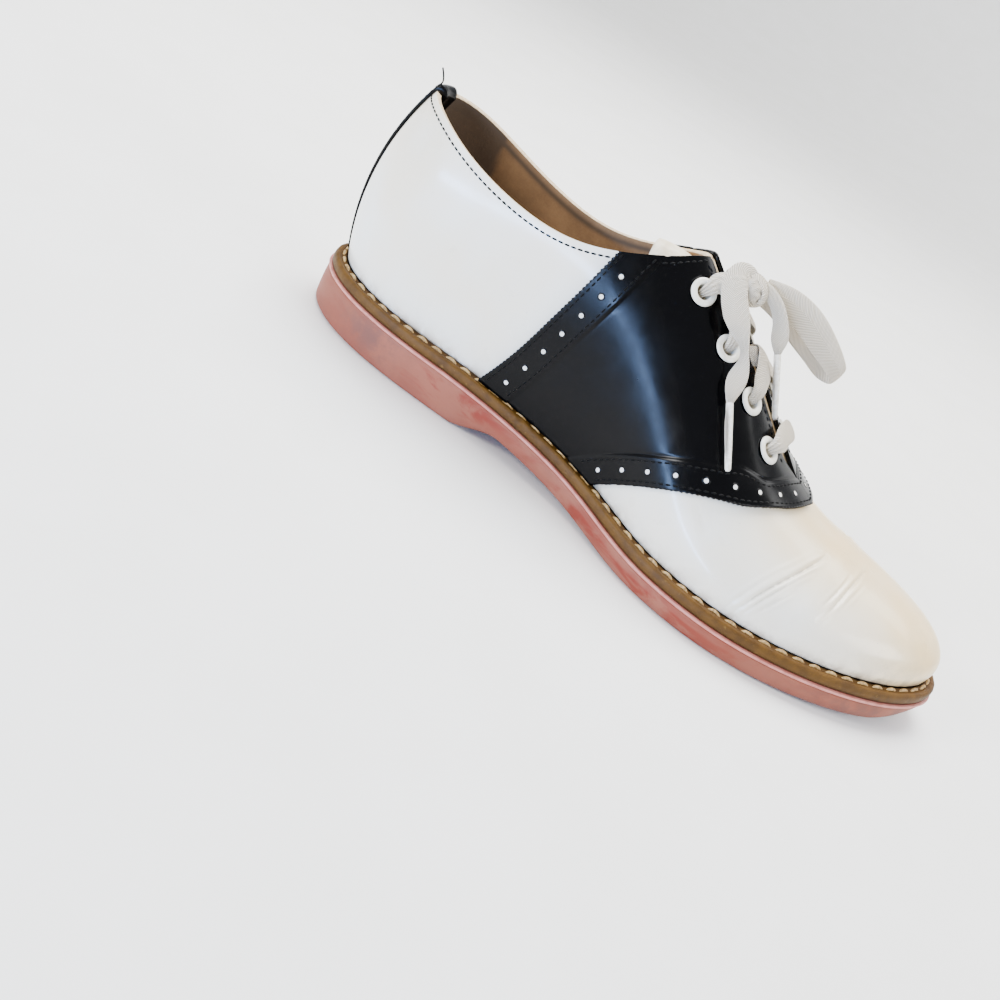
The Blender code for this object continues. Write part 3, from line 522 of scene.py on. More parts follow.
@dataclass(frozen=True)
class Stain:
    """Patches of a colour, drawn by a pattern, by a mark that the mesh carries, or by both."""

    colour: str
    pattern: Pattern | None = None
    low: float = 0.0
    high: float = 1.0
    top: float = 1.0
    mark: str = ""

    def lay(self, w: Weave, under: Socket | str) -> Socket:
        """Lay the patches over a colour.

        Args:
            w: The material under construction.
            under: The colour below, or its hex code.

        Returns:
            The stained colour.
        """
        masks = []
        if self.pattern:
            rise = {"interpolation_type": "SMOOTHSTEP", 1: self.low, 2: self.high, 4: self.top}
            masks.append(w.add("MapRange", rise, {0: self.pattern.draw(w)}))
        if self.mark:
            masks.append(w.add("Attribute", {"attribute_name": self.mark}, out="Fac"))
        mask = masks[0]
        if len(masks) == 2:
            mask = w.add("Math", {"operation": "MULTIPLY"}, dict(enumerate(masks)))
        settings, links = {"data_type": "RGBA", 7: linear(self.colour)}, {0: mask}
        if isinstance(under, str):
            settings[6] = linear(under)
        else:
            links[6] = under
        return w.add("Mix", settings, links, out=2)


@dataclass(frozen=True)
class Relief:
    """Unevenness of a real size and depth."""

    pattern: Pattern
    depth_mm: float
    strength: float

    def lay(self, w: Weave, below: Socket | None = None) -> Socket:
        """Raise the surface.

        Args:
            w: The material under construction.
            below: The normals that it is added to, where there are any.

        Returns:
            The new normals.
        """
        links = {"Height": self.pattern.draw(w)} | ({"Normal": below} if below else {})
        return w.add("Bump", {"Distance": self.depth_mm * MM, "Strength": self.strength}, links)


def coat(w: Weave, base: Socket | str, stains: Sequence[Stain], reliefs: Sequence[Relief]) -> None:
    """Give a material its colour and its unevenness.

    Args:
        w: The material under construction.
        base: The colour under the stains, or its hex code.
        stains: Stains in the order in which they are laid.
        reliefs: Unevenness, the finest first.
    """
    normal = None
    for stain in stains:
        base = stain.lay(w, base)
    for relief in reliefs:
        normal = relief.lay(w, normal)
    w.feed(Base_Color=base, Normal=normal)


@dataclass(frozen=True)
class FinishedCalf:
    """Smooth calf with a pigmented finish: a closed surface with a soft gloss and hardly any pores."""

    warm: str = "#ecce95"
    cool: str = "#eae8de"
    roughness: float = 0.30
    # Painted shade darkens the creases, dirt gathers along the welt, and a few specks lie all over
    stains: tuple[Stain, ...] = (
        # Painted shade deep in the creases, from the fold mark
        Stain("#b9ad97", Pattern(2.2), 0.3, 0.6, mark="fold"),
        Stain("#a8967c", Pattern(5.0, 4.0, 0.65), 0.38, 0.62, mark="grime"),
        Stain("#8d8478", Pattern(1.6, 2.0, 0.4), 0.76, 0.80, 0.35),
    )
    # Pores of a finished calf stand about 0.4 mm apart and are drawn a little coarser
    reliefs: tuple[Relief, ...] = (
        Relief(Pattern(0.6, 2.0), 0.012, 0.5),
        Relief(Pattern(11.0, 2.0), 0.10, 0.35),
    )

    def make(self, name: str) -> bpy.types.Material:
        """Build the white leather, which has yellowed towards the toe.

        Args:
            name: The material's name.

        Returns:
            The material.
        """
        w = Weave(name)
        rise = {"interpolation_type": "SMOOTHSTEP", 1: 0.35, 2: 0.65}
        cloud = w.add("MapRange", rise, {0: Pattern(38.0, 2.0).draw(w)})
        warmth = w.add("Attribute", {"attribute_name": "warmth"}, out="Fac")
        cloud = w.add("Math", {"operation": "MULTIPLY_ADD", 1: 0.25}, {0: cloud, 2: warmth})
        cool_to_warm = {"data_type": "RGBA", 6: linear(self.cool), 7: linear(self.warm)}
        coat(w, w.add("Mix", cool_to_warm, {0: cloud}, out=2), self.stains, self.reliefs)
        rubbed = {1: 0.3, 2: 0.7, 3: self.roughness - 0.05, 4: self.roughness + 0.08}
        w.feed(Roughness=w.add("MapRange", rubbed, {0: Pattern(16.0, 4.0).draw(w)}))
        w.set(IOR=1.5, Coat_Weight=0.35, Coat_Roughness=0.12, Coat_IOR=1.5)
        return w.material


@dataclass(frozen=True)
class PolishedCalf:
    """Black calf with a waxed gloss: nearly a mirror, broken by pores, faint rubs and lint."""

    black: str = "#020203"
    roughness: float = 0.15
    stains: tuple[Stain, ...] = (
        Stain("#060709", Pattern(9.0, 5.0, 0.7), 0.60, 0.72, 0.5),
        Stain("#4a4b4d", Pattern(1.3, 1.0, 0.3), 0.83, 0.86, 0.3),
    )
    reliefs: tuple[Relief, ...] = (
        Relief(Pattern(0.7, 2.0), 0.012, 0.45),
        Relief(Pattern(9.0, 2.0), 0.09, 0.4),
    )

    def make(self, name: str) -> bpy.types.Material:
        """Build the black leather.

        Args:
            name: The material's name.

        Returns:
            The material.
        """
        w = Weave(name)
        coat(w, self.black, self.stains, self.reliefs)
        rubbed = {1: 0.35, 2: 0.7, 3: self.roughness, 4: self.roughness + 0.12}
        w.feed(Roughness=w.add("MapRange", rubbed, {0: Pattern(12.0, 5.0, 0.6).draw(w)}))
        w.set(IOR=1.5, Specular_IOR_Level=0.12, Coat_Weight=0.0)
        return w.material


@dataclass(frozen=True)
class Suede:
    """Flesh side of calf: a short matt nap that goes lighter and darker where it was brushed."""

    nap: str = "#94714c"
    dark: str = "#6f5336"
    fibres: Pattern = Pattern(0.9, 4.0, 0.7)

    def make(self, name: str) -> bpy.types.Material:
        """Build the napped leather, with the darker counter behind the heel.

        Args:
            name: The material's name.

        Returns:
            The material.
        """
        w = Weave(name)
        rise = {"interpolation_type": "SMOOTHSTEP", 1: 0.36, 2: 0.64}
        patches = w.add("MapRange", rise, {0: Pattern(14.0, 4.0, 0.6).draw(w)})
        brushed = w.add("Mix", {"data_type": "FLOAT", 0: 0.6}, {2: patches, 3: self.fibres.draw(w)})
        shades = {"data_type": "RGBA", 6: linear(self.dark), 7: linear(self.nap)}
        base = w.add("Mix", shades, {0: brushed}, out=2)
        coat(w, base, (Stain("#4a3c2e", mark="counter"),), (Relief(self.fibres, 0.10, 0.8),))
        w.set(Roughness=0.92, Sheen_Weight=0.25, Sheen_Roughness=0.5, IOR=1.45)
        return w.material


@dataclass(frozen=True)
class MouldedRubber:
    """Moulded rubber sole: satin, coloured through, scuffed red and grey where it was walked on."""

    pink: str = "#8b503c"
    stains: tuple[Stain, ...] = (
        Stain("#784130", Pattern(26.0, 4.0, 0.6), 0.35, 0.7, 0.55),
        Stain("#7a2c1c", Pattern(23.81, 5.0, 0.6, 3.2, 0.8), 0.42, 0.60, mark="red"),
        Stain("#6c4237", Pattern(7.0, 5.0, 0.7), 0.36, 0.62, mark="soil"),
        Stain("#7d3d33", Pattern(2.0, 3.0, 0.6), 0.66, 0.76, 0.4),
    )
    reliefs: tuple[Relief, ...] = (
        Relief(Pattern(0.8, 3.0, 0.6), 0.05, 0.5),
        Relief(Pattern(9.0), 0.15, 0.4),
    )

    def make(self, name: str) -> bpy.types.Material:
        """Build the rubber with its streaks and soil.

        Args:
            name: The material's name.

        Returns:
            The material.
        """
        w = Weave(name)
        coat(w, self.pink, self.stains, self.reliefs)
        w.set(Roughness=0.60, IOR=1.5, Specular_IOR_Level=0.25)
        return w.material


@dataclass(frozen=True)
class EdgeDressedLeather:
    """Welt of oak-bark leather, cut, dyed tan and waxed: cloudy tan, darker at its outer foot, with painted
    shade in its grooves.
    """

    tan: str = "#5f3f0c"
    stains: tuple[Stain, ...] = (
        Stain("#4b3008", Pattern(6.0, 5.0, 0.65), 0.34, 0.68),
        # Painted shade in the stitch channel and beside the upper, and a darker outer foot
        Stain("#2f1e0b", mark="shade"),
        Stain("#80612f", Pattern(1.8, 3.0, 0.6), 0.64, 0.74, 0.4),
    )
    reliefs: tuple[Relief, ...] = (
        Relief(Pattern(0.9, 4.0, 0.6), 0.06, 0.6),
        Relief(Pattern(5.0), 0.2, 0.5),
    )

    def make(self, name: str) -> bpy.types.Material:
        """Build the waxed tan leather.

        Args:
            name: The material's name.

        Returns:
            The material.
        """
        w = Weave(name)
        coat(w, self.tan, self.stains, self.reliefs)
        w.set(Roughness=0.58, IOR=1.5, Specular_IOR_Level=0.2)
        return w.material


@dataclass(frozen=True)
class PlainFinish:
    """A small piece's even finish, with fine mottling so that it never looks flat."""

    light: str
    dark: str
    roughness: float
    coat: float = 0.0
    mottle_mm: float = 1.5
    depth_mm: float = 0.03
    mirror: float = 0.5

    def make(self, name: str) -> bpy.types.Material:
        """Build the finish.

        Args:
            name: The material's name.

        Returns:
            The material.
        """
        w = Weave(name)
        mottle = Pattern(self.mottle_mm, 4.0, 0.6)
        coat(w, self.light, (Stain(self.dark, mottle, 0.35, 0.68),), (Relief(mottle, self.depth_mm, 0.6),))
        w.set(Roughness=self.roughness, Coat_Weight=self.coat, Coat_Roughness=0.1)
        w.set(IOR=1.5, Specular_IOR_Level=self.mirror)
        return w.material


@dataclass(frozen=True)
class WovenCotton:
    """Flat tubular lace of bleached cotton in a twill weave: matt, fuzzy, ribbed aslant.

    The UV map runs in millimetres, U across the lace and V along it. Real yarns stand about 0.6 mm
    apart and are drawn a little coarser, so that they show.
    """

    light: str = "#e9dfcc"
    shadow: str = "#a3937a"
    yarn_mm: float = 0.75

    def make(self, name: str) -> bpy.types.Material:
        """Build the woven lace.

        Args:
            name: The material's name.

        Returns:
            The material.
        """
        w = Weave(name)
        uv = w.add("TexCoord", out="UV")
        across, along = (w.add("SeparateXYZ", {}, {0: uv}, axis) for axis in range(2))
        turn = 2.0 * math.pi / self.yarn_mm
        # The ribs run aslant from the middle to both edges, and the finer picks cross them
        slant = w.add("Math", {"operation": "ABSOLUTE"}, {0: across})
        slant = w.add("Math", {"operation": "ADD"}, {0: slant, 1: along})
        slant = w.add("Math", {"operation": "MULTIPLY", 1: turn}, {0: slant})
        ribs = w.add("Math", {"operation": "SINE"}, {0: slant})
        cross = w.add("Math", {"operation": "SUBTRACT"}, {0: across, 1: along})
        cross = w.add("Math", {"operation": "MULTIPLY", 1: turn * 1.7}, {0: cross})
        picks = w.add("Math", {"operation": "SINE"}, {0: cross})
        cloth = w.add("Math", {"operation": "MULTIPLY_ADD", 1: 0.35}, {0: picks, 2: ribs})
        lit = w.add("MapRange", {"interpolation_type": "SMOOTHSTEP", 1: -1.3, 2: 0.7}, {0: cloth})
        worn = Stain("#d9ccb4", Pattern(9.0), 0.45, 0.75, 0.5)
        woven = w.add("Bump", {"Distance": 0.16 * MM, "Strength": 0.9}, {"Height": cloth})
        fuzz = Relief(Pattern(0.5, 3.0, 0.7), 0.12, 0.5)
        shades = {"data_type": "RGBA", 6: linear(self.shadow), 7: linear(self.light)}
        base = w.add("Mix", shades, {0: lit}, out=2)
        w.feed(Base_Color=worn.lay(w, base), Normal=fuzz.lay(w, woven))
        w.set(Roughness=0.9, Sheen_Weight=0.3, Sheen_Roughness=0.45, IOR=1.45)
        return w.material


@dataclass
class Finishes:
    """Every material of the shoe, made once."""

    upper: bpy.types.Material = field(init=False)
    saddle: bpy.types.Material = field(init=False)
    lining: bpy.types.Material = field(init=False)
    rubber: bpy.types.Material = field(init=False)
    lip: bpy.types.Material = field(init=False)
    welt: bpy.types.Material = field(init=False)
    thread: bpy.types.Material = field(init=False)
    stitch: bpy.types.Material = field(init=False)
    raw: bpy.types.Material = field(init=False)
    tongue: bpy.types.Material = field(init=False)
    insole: bpy.types.Material = field(init=False)
    eyelet: bpy.types.Material = field(init=False)
    lace: bpy.types.Material = field(init=False)
    aglet: bpy.types.Material = field(init=False)
    hole: bpy.types.Material = field(init=False)
    floor: bpy.types.Material = field(init=False)

    def __post_init__(self) -> None:
        """Make each material."""
        self.upper = FinishedCalf().make("finished_calf")
        self.saddle = PolishedCalf().make("polished_calf")
        self.lining = Suede().make("suede_lining")
        self.rubber = MouldedRubber().make("moulded_rubber")
        # Painted highlight: the moulding's lip along the top of the rubber is coloured lighter, as where it
        # catches the light
        self.lip = PlainFinish("#c07a6d", "#aa6255", 0.5, mottle_mm=4.0).make("rubber_lip_painted_highlight")
        self.welt = EdgeDressedLeather().make("waxed_welt_leather")
        # Waxed linen, dull and gone cream
        self.thread = PlainFinish("#c9a468", "#8a6636", 0.6, mottle_mm=0.8, depth_mm=0.08).make("waxed_linen")
        # Black sewing thread, dull beside the polished calf
        black = PlainFinish("#020202", "#050505", 0.6, mottle_mm=0.8, depth_mm=0.04, mirror=0.12)
        self.stitch = black.make("black_thread")
        # A cut edge shows the leather's undyed fibres
        self.raw = PlainFinish("#d8c4a4", "#b79c77", 0.8, mottle_mm=1.0, depth_mm=0.08).make("raw_edge")
        # Cream lining leather, matt beside the finished calf
        cream = PlainFinish("#e6d9bf", "#cdbb9a", 0.6, mottle_mm=5.0, depth_mm=0.06)
        self.tongue = cream.make("cream_leather")
        # Vegetable-tanned insole leather, dull and brown from wear
        brown = PlainFinish("#6d4f35", "#4c3624", 0.75, mottle_mm=8.0, depth_mm=0.06)
        self.insole = brown.make("insole_leather")
        # Stove enamel on pressed brass: an even, hard off-white skin
        self.eyelet = PlainFinish("#ece8da", "#dcd5c2", 0.28, 0.4, 3.0, 0.01).make("stove_enamel")
        self.lace = WovenCotton().make("bleached_cotton")
        # Clear cellulose film shrunk round the lace: slightly yellow and shiny
        self.aglet = PlainFinish("#f1ece0", "#ddd3bf", 0.25, 0.5, 1.2, 0.03).make("cellulose_tip")
        # The finished calf of the upper as the small holes show it: even and a little duller
        self.hole = PlainFinish("#eceae2", "#d0ccc0", 0.5, mottle_mm=1.0).make("white_backing")
        # Studio paper: pale, even and matt
        self.floor = PlainFinish("#f4f3f0", "#f1f0ec", 0.7, mottle_mm=60.0, depth_mm=0.0).make("studio_floor")


# Mesh tools


@dataclass
class Draft:
    """Points, faces and marks of a mesh that is being put together."""

    points: list[Array] = field(default_factory=list)
    faces: list[tuple[int, ...]] = field(default_factory=list)
    slots: list[int] = field(default_factory=list)
    uvs: list[Array] = field(default_factory=list)
    marks: dict[str, list[Array]] = field(default_factory=dict)
    count: int = 0

    def put(
        self, points: Array, faces: Sequence[tuple[int, ...]], uv: Array | None = None, **marks: Array
    ) -> None:
        """Add points with faces that count from the first of them.

        Args:
            points: One row for each point, in the last's own place.
            faces: Tuples of point numbers.
            uv: UV of each point, where the piece has them.
            marks: Values of each named attribute at the points.
        """
        points = np.asarray(points).reshape(-1, 3)
        self.close([tuple(i + self.count for i in face) for face in faces])
        self.points.append(points)
        self.uvs.append(np.zeros((len(points), 2)) if uv is None else np.asarray(uv).reshape(-1, 2))
        for name, values in marks.items():
            self.marks.setdefault(name, []).append(np.asarray(values).reshape(-1))
        self.count += len(points)

    def close(self, faces: Sequence[tuple[int, ...]]) -> None:
        """Add faces of the first material between points that are counted from the very first one."""
        self.faces += faces
        self.slots += [0] * len(faces)

    def grid(self, points: Array, closed: bool = False, uv: Array | None = None, **marks: Array) -> None:
        """Add a grid of points.

        Args:
            points: Rows of columns of points, in the last's own place.
            closed: Whether the last column joins the first one.
            uv: UV of each point, where the piece has them.
            marks: Values of each named attribute at the points.
        """
        rows, columns = points.shape[:2]
        i, j = np.meshgrid(np.arange(rows - 1), np.arange(columns if closed else columns - 1), indexing="ij")
        a = (i * columns + j).ravel()
        b = (i * columns + (j + 1) % columns).ravel()
        faces = list(zip(a.tolist(), b.tolist(), (b + columns).tolist(), (a + columns).tolist()))
        self.put(points, faces, uv, **marks)

    def make(
        self, name: str, materials: Sequence[bpy.types.Material], away: Sequence[float] | None = None
    ) -> bpy.types.Object:
        """Build the object.

        Args:
            name: The piece's name.
            materials: One for each slot used.
            away: Point of the last from which an open surface faces away.

        Returns:
            The new object, linked into the scene.
        """
        mesh = bpy.data.meshes.new(name)
        mesh.from_pydata(LAST.frame(np.vstack(self.points)).tolist(), [], self.faces)
        mesh.polygons.foreach_set("material_index", self.slots)
        for mark, values in self.marks.items():
            layer = mesh.attributes.new(mark, "FLOAT", "POINT")
            layer.data.foreach_set("value", np.concatenate(values).astype(np.float32))
        uv = np.vstack(self.uvs)
        if np.abs(uv).max() > 0.0:
            corners = np.empty(len(mesh.loops), dtype=np.int32)
            mesh.loops.foreach_get("vertex_index", corners)
            mesh.uv_layers.new(name="UVMap").data.foreach_set("uv", uv[corners].astype(np.float32).ravel())
        work = bmesh.new()
        work.from_mesh(mesh)
        bmesh.ops.remove_doubles(work, verts=work.verts, dist=2e-5)
        bmesh.ops.recalc_face_normals(work, faces=work.faces)
        if away is not None:
            middle = Vector(LAST.frame(away))
            if sum((f.calc_center_median() - middle).dot(f.normal) * f.calc_area() for f in work.faces) < 0.0:
                bmesh.ops.reverse_faces(work, faces=work.faces)
        work.to_mesh(mesh)
        work.free()
        mesh.shade_smooth()
        mesh.set_sharp_from_angle(angle=math.radians(50.0))
        for material in materials:
            mesh.materials.append(material)
        item = bpy.data.objects.new(name, mesh)
        bpy.context.scene.collection.objects.link(item)
        return item


def dress(piece: bpy.types.Object, slot: str, *nodes: str) -> bpy.types.Object:
    """Make a piece ride on the shoe and stand for CAD nodes.

    Args:
        piece: The finished object.
        slot: Name of a slot; not used.
        nodes: The CAD nodes that it replaces.

    Returns:
        The same object.
    """
    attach(piece, "root")
    if nodes:
        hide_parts(*nodes)
    log.info("%s: %d faces", piece.name, len(piece.data.polygons) if piece.type == "MESH" else 0)
    return piece


@dataclass(frozen=True)
class Stitch:
    """A machine stitch, whose ends dip by a share of the thread."""

    pitch: float
    length: float
    thread: float
    sink: float = 0.2

    def sew(self, draft: Draft, line: Array, normals: Array) -> None:
        """Sew a row of small rounded stitches.

        Args:
            draft: The mesh to add to.
            line: Surface points along the row.
            normals: Outward directions there.
        """
        chord = lengths(line)
        at = np.arange(self.pitch / 2.0, chord[-1], self.pitch)
        centres = read(line, chord, at)
        ahead = read(line, chord, at + 0.3 * MM) - centres
        ahead /= np.linalg.norm(ahead, axis=1)[:, None] + 1e-12
        ups = unit(read(normals, chord, at))
        across = unit(np.cross(ups, ahead))
        ts = np.array([-1.0, -0.82, -0.4, 0.0, 0.4, 0.82, 1.0])
        fat = np.array([0.12, 0.62, 0.96, 1.0, 0.96, 0.62, 0.12])
        angles = np.linspace(0.0, 2.0 * math.pi, 8, endpoint=False)
        dip = (self.sink * self.thread * ts**2 * 2.0)[:, None]
        for centre, forward, side, up in zip(centres, ahead, across, ups):
            spine = centre + forward * (ts * self.length / 2.0)[:, None] - up * dip
            around = side * np.cos(angles)[:, None] + up * np.sin(angles)[:, None]
            rings = spine[:, None, :] + around[None] * (fat * self.thread / 2.0)[:, None, None]
            draft.grid(rings, closed=True)


def wall(item: bpy.types.Object, thickness: float, outward: bool, inside: int = 0, rim: int = 0) -> None:
    """Give an open surface its thickness.

    Args:
        item: The open surface.
        thickness: Thickness of the leather.
        outward: Whether the wall grows outwards.
        inside: Slots between the surface's material and that of the new face.
        rim: Slots between the surface's material and that of the cut edge.
    """
    made = item.modifiers.new("wall", "SOLIDIFY")
    made.thickness = thickness
    made.offset = 1.0 if outward else -1.0
    made.material_offset = inside
    made.material_offset_rim = rim


def open_holes(item: bpy.types.Object, radius: float, reach: float = 0.008) -> None:
    """Take away the faces round the eyelets' axes, which their flanges cover.

    Args:
        item: The surface to open.
        radius: Radius of each hole.
        reach: How far along its axis a hole reaches.
    """
    work = bmesh.new()
    work.from_mesh(item.data)
    centres = np.array([f.calc_center_median()[:] for f in work.faces])
    gone = np.zeros(len(centres), dtype=bool)
    for point, axis in (eyelet_place(side, along) for side in Side for along in EYELET_ROWS):
        off = centres - LAST.frame(point)
        depth = off @ axis
        gone |= (np.linalg.norm(off - depth[:, None] * axis, axis=1) < radius) & (np.abs(depth) < reach)
    work.faces.ensure_lookup_table()
    bmesh.ops.delete(work, geom=[work.faces[int(i)] for i in np.flatnonzero(gone)], context="FACES")
    work.to_mesh(item.data)
    work.free()


def nearest(points: Array, route: Array) -> tuple[Array, Array]:
    """Find the nearest place of a route.

    Args:
        points: Points to look from.
        route: Points of the route.

    Returns:
        Each point's distance to it, and the share along it of the nearest place.
    """
    gaps = np.linalg.norm(points[:, None, :] - route[None, :, :], axis=2)
    best = gaps.argmin(axis=1)
    return gaps[np.arange(len(points)), best], best / (len(route) - 1.0)


def rib_shares(rows: int, crowding: float = 1.2) -> Array:
    """Shares up a rib, closer together where it rounds over."""
    return 1.0 - (1.0 - np.linspace(0.0, 1.0, rows)) ** crowding


def stations(coarse: float, fine: float, low: float = 0.185, high: float = 0.262) -> dict[Side, Array]:
    """Rib places on both sides that share their point on the ridge.

    Args:
        coarse: Distance between two ribs on the outline.
        fine: The same where the vamp creases.
        low: Where the fine ribs begin, from the back of the heel.
        high: Where they end.

    Returns:
        Shares of the outline for each side.
    """
    arcs = [0.0]
    while arcs[-1] < 1.0:
        place = np.interp(arcs[-1], LAST.arcs[Side.LATERAL], LAST.sides[Side.LATERAL][:, 0])
        arcs.append(arcs[-1] + (fine if low < place < high else coarse) / LAST.girth[Side.LATERAL])
    arcs[-1] = 1.0
    outer = np.array(arcs)
    inner = LAST.arc_at(Side.MEDIAL, LAST.edge(Side.LATERAL, outer)[0][:, 0])
    inner[0], inner[-1] = 0.0, 1.0
    return {Side.LATERAL: outer, Side.MEDIAL: inner}


def ring(
    arcs: dict[Side, Array], inset: float | Callable[[Array], Array], height: Callable[[Array], Array]
) -> Array:
    """Closed ring of points round the outline.

    Args:
        arcs: Rib places of both sides.
        inset: How far inside the outline, or a function of the place along the shoe.
        height: The height as a function of the place along the shoe.

    Returns:
        The points, up the lateral side and back down the medial one.
    """
    sides = []
    for side in Side:
        along = LAST.edge(side, arcs[side])[0][:, 0]
        depth = inset(along) if callable(inset) else inset + 0.0 * along
        sides.append(LAST.edge(side, arcs[side], depth)[0])
    plan = np.vstack([sides[0], sides[1][1:-1][::-1]])
    return np.concatenate([plan, height(plan[:, 0])[:, None]], axis=1)


def rungs(count: int, start: int) -> list[tuple[int, ...]]:
    """Close a ring by rungs from side to side.

    Args:
        count: Points of the ring.
        start: Number of its first point.

    Returns:
        The faces, as tuples of point numbers.
    """
    half = count // 2
    faces = [(start, start + 1, start + count - 1)]
    for i in range(1, half - 1):
        faces.append((start + i, start + i + 1, start + count - i - 1, start + count - i))
    return faces + [(start + half - 1, start + half, start + half + 1)]


def ribbon(
    draft: Draft,
    route: Array,
    facing: Array,
    widths: Array,
    bunch: Array,
    thickness: float = 0.0011,
    curl: float = 0.06,
) -> None:
    """Add a flat woven lace.

    Args:
        draft: The mesh to add to.
        route: Middle line of the lace.
        facing: Direction in which its broad side looks, one or one for each point.
        widths: Width at each point.
        bunch: How strongly it is gathered into folds at each point, from 0 to 1.
        thickness: Thickness of the cloth.
        curl: How far the middle stands over the edges, as a share of the width.
    """
    facing = np.broadcast_to(facing, route.shape)
    forward = unit(np.gradient(route, axis=0))
    across = unit(np.cross(forward, facing))
    upward = np.cross(across, forward)
    chord = lengths(route)
    u = np.linspace(-1.0, 1.0, 23)
    around = np.concatenate([u, u[-2:0:-1]])
    face = np.concatenate([np.ones(23), -np.ones(21)])
    half = widths[:, None] / 2.0
    thick = np.minimum(thickness, widths[:, None] * 0.9) / 2.0 * (1.0 - np.abs(around[None, :]) ** 5) ** 0.5
    folds = 4.0 * math.pi * around[None, :] + 35.0 * chord[:, None] * 10.0 * bunch[:, None]
    waves = 0.40 * MM * bunch[:, None] * np.cos(folds)
    lean = curl * widths[:, None] * (1.0 - around[None, :] ** 2) + waves + thick * face[None, :]
    grid = route[:, None, :] + across[:, None, :] * (half * around[None, :])[..., None]
    grid = grid + upward[:, None, :] * lean[..., None]
    rows, columns = grid.shape[:2]
    uv = np.stack(np.broadcast_arrays(around * 4.2, chord[:, None] / MM), axis=-1)
    first = draft.count
    draft.grid(grid, closed=True, uv=uv)
    last = (rows - 1) * columns
    draft.close([tuple(range(at, at + columns)) for at in (first, first + last)])


def turned(route: Array, facing: Array, degrees: Array) -> Array:
    """Turn a facing direction about a route.

    Args:
        route: Points of the route.
        facing: The direction before the turn.
        degrees: Angle of the turn at each point.

    Returns:
        The turned directions.
    """
    forward = unit(np.gradient(route, axis=0))
    flat = unit(facing - (forward @ facing)[:, None] * forward)
    angle = np.radians(degrees)[:, None]
    return flat * np.cos(angle) + np.cross(forward, flat) * np.sin(angle)


# Sub-assemblies


@dataclass
class SoleUnit:
    """The moulded rubber sole with its low heel, and the insole board inside the welt."""

    finishes: Finishes
    edge_round: float = 0.0016
    undercut: float = 0.0030
    groove: float = 0.0016
    insole_thickness: float = 0.0037
    dish: float = 0.8 * MM

    def outsole(self) -> None:
        """Build the sole with its rounded lower edge, its lip under the welt and its wear marks."""
        arcs = stations(0.0013, 0.0013)

        def under(x: Array) -> Array:
            """How far the toe's lower edge is drawn in."""
            return self.undercut * ease(0.93 * LAST.length, LAST.length, x)

        def side_height(x: Array, share: float) -> Array:
            """Height of the side wall at a share between its rounded edge and its lip."""
            tall = LAST.seat(x) - self.groove - LAST.tread(x) - self.edge_round
            return LAST.tread(x) + self.edge_round + share * tall

        draft = Draft()
        rings = []
        for turn in np.linspace(0.0, 1.0, 6):
            inset = self.edge_round * (1.0 - math.sin(turn * math.pi / 2.0))
            rise = self.edge_round * (1.0 - math.cos(turn * math.pi / 2.0))
            rings.append(
                ring(
                    arcs,
                    lambda x, i=inset, t=turn: i + under(x) * (1.0 - 0.3 * t),
                    lambda x, r=rise: LAST.tread(x) + r,
                )
            )
        for share in np.linspace(0.12, 1.0, 9):
            belly = -0.25 * MM * math.sin(math.pi * share)
            rings.append(
                ring(
                    arcs,
                    lambda x, s=share, b=belly: b + 0.7 * under(x) * (1.0 - s),
                    lambda x, s=share: side_height(x, s),
                )
            )
        rings.append(ring(arcs, 0.0003, lambda x: LAST.seat(x) - 0.0013))
        body = len(rings)
        for inset, drop in ((-0.0004, 0.0011), (-0.0006, 0.0007), (-0.0004, 0.0002), (0.0004, 0.0)):
            rings.append(ring(arcs, inset, lambda x, d=drop: LAST.seat(x) - d))
        stack = np.stack(rings)
        x, y, z = stack[..., 0], stack[..., 1], stack[..., 2]
        lateral = y < LAST.middle
        height = (z - LAST.tread(x)) / (LAST.seat(x) - LAST.tread(x))
        streak = np.exp(-(((x - 0.083) / 0.022) ** 2)) * np.exp(-(((height - 0.62) / 0.28) ** 2)) * lateral
        ball = 0.8 * ease(0.10, 0.15, x) * (1.0 - ease(0.18, 0.235, x)) * (0.35 + 0.65 * (height < 0.6))
        streak += ball + 0.25
        soil = np.exp(-(((x - 0.041) / 0.014) ** 2) - ((z - 0.010) / 0.006) ** 2) * lateral
        soil += 0.75 * ease(0.215, 0.262, x) + 0.35 * np.exp(-height / 0.25)
        count = stack.shape[1]
        draft.grid(stack, closed=True, red=np.clip(streak, 0, 1), soil=np.clip(soil, 0, 1))
        # The lip's rings take the lighter rubber of the painted highlight
        draft.slots = [1 if i // count >= body - 1 else 0 for i in range(len(draft.faces))]
        draft.close(rungs(count, 0) + rungs(count, (len(rings) - 1) * count))
        item = draft.make("outsole_rubber", [self.finishes.rubber, self.finishes.lip])
        dress(item, "outsole", "outsole")

    def insole(self) -> None:
        """Build the insole board, a little dished where the foot stood."""
        arcs = stations(0.003, 0.003)
        edge = LAST.ledge + UpperShell.thickness + Welt.seat + LAST.gap
        top = LAST.gap + self.insole_thickness
        rings = [ring(arcs, edge, lambda x: LAST.seat(x) + LAST.gap)]
        rings.append(ring(arcs, edge, lambda x: LAST.seat(x) + top))
        for share in (0.3, 0.7, 1.0):
            sunk = share * self.dish
            rings.append(ring(arcs, edge + share * 0.012, lambda x, d=sunk: LAST.seat(x) + top - d))
        draft = Draft()
        draft.grid(np.stack(rings), closed=True)
        count = len(rings[0])
        draft.close(rungs(count, 0) + rungs(count, (len(rings) - 1) * count))
        dress(draft.make("insole_board", [self.finishes.insole]), "insole", "insole")


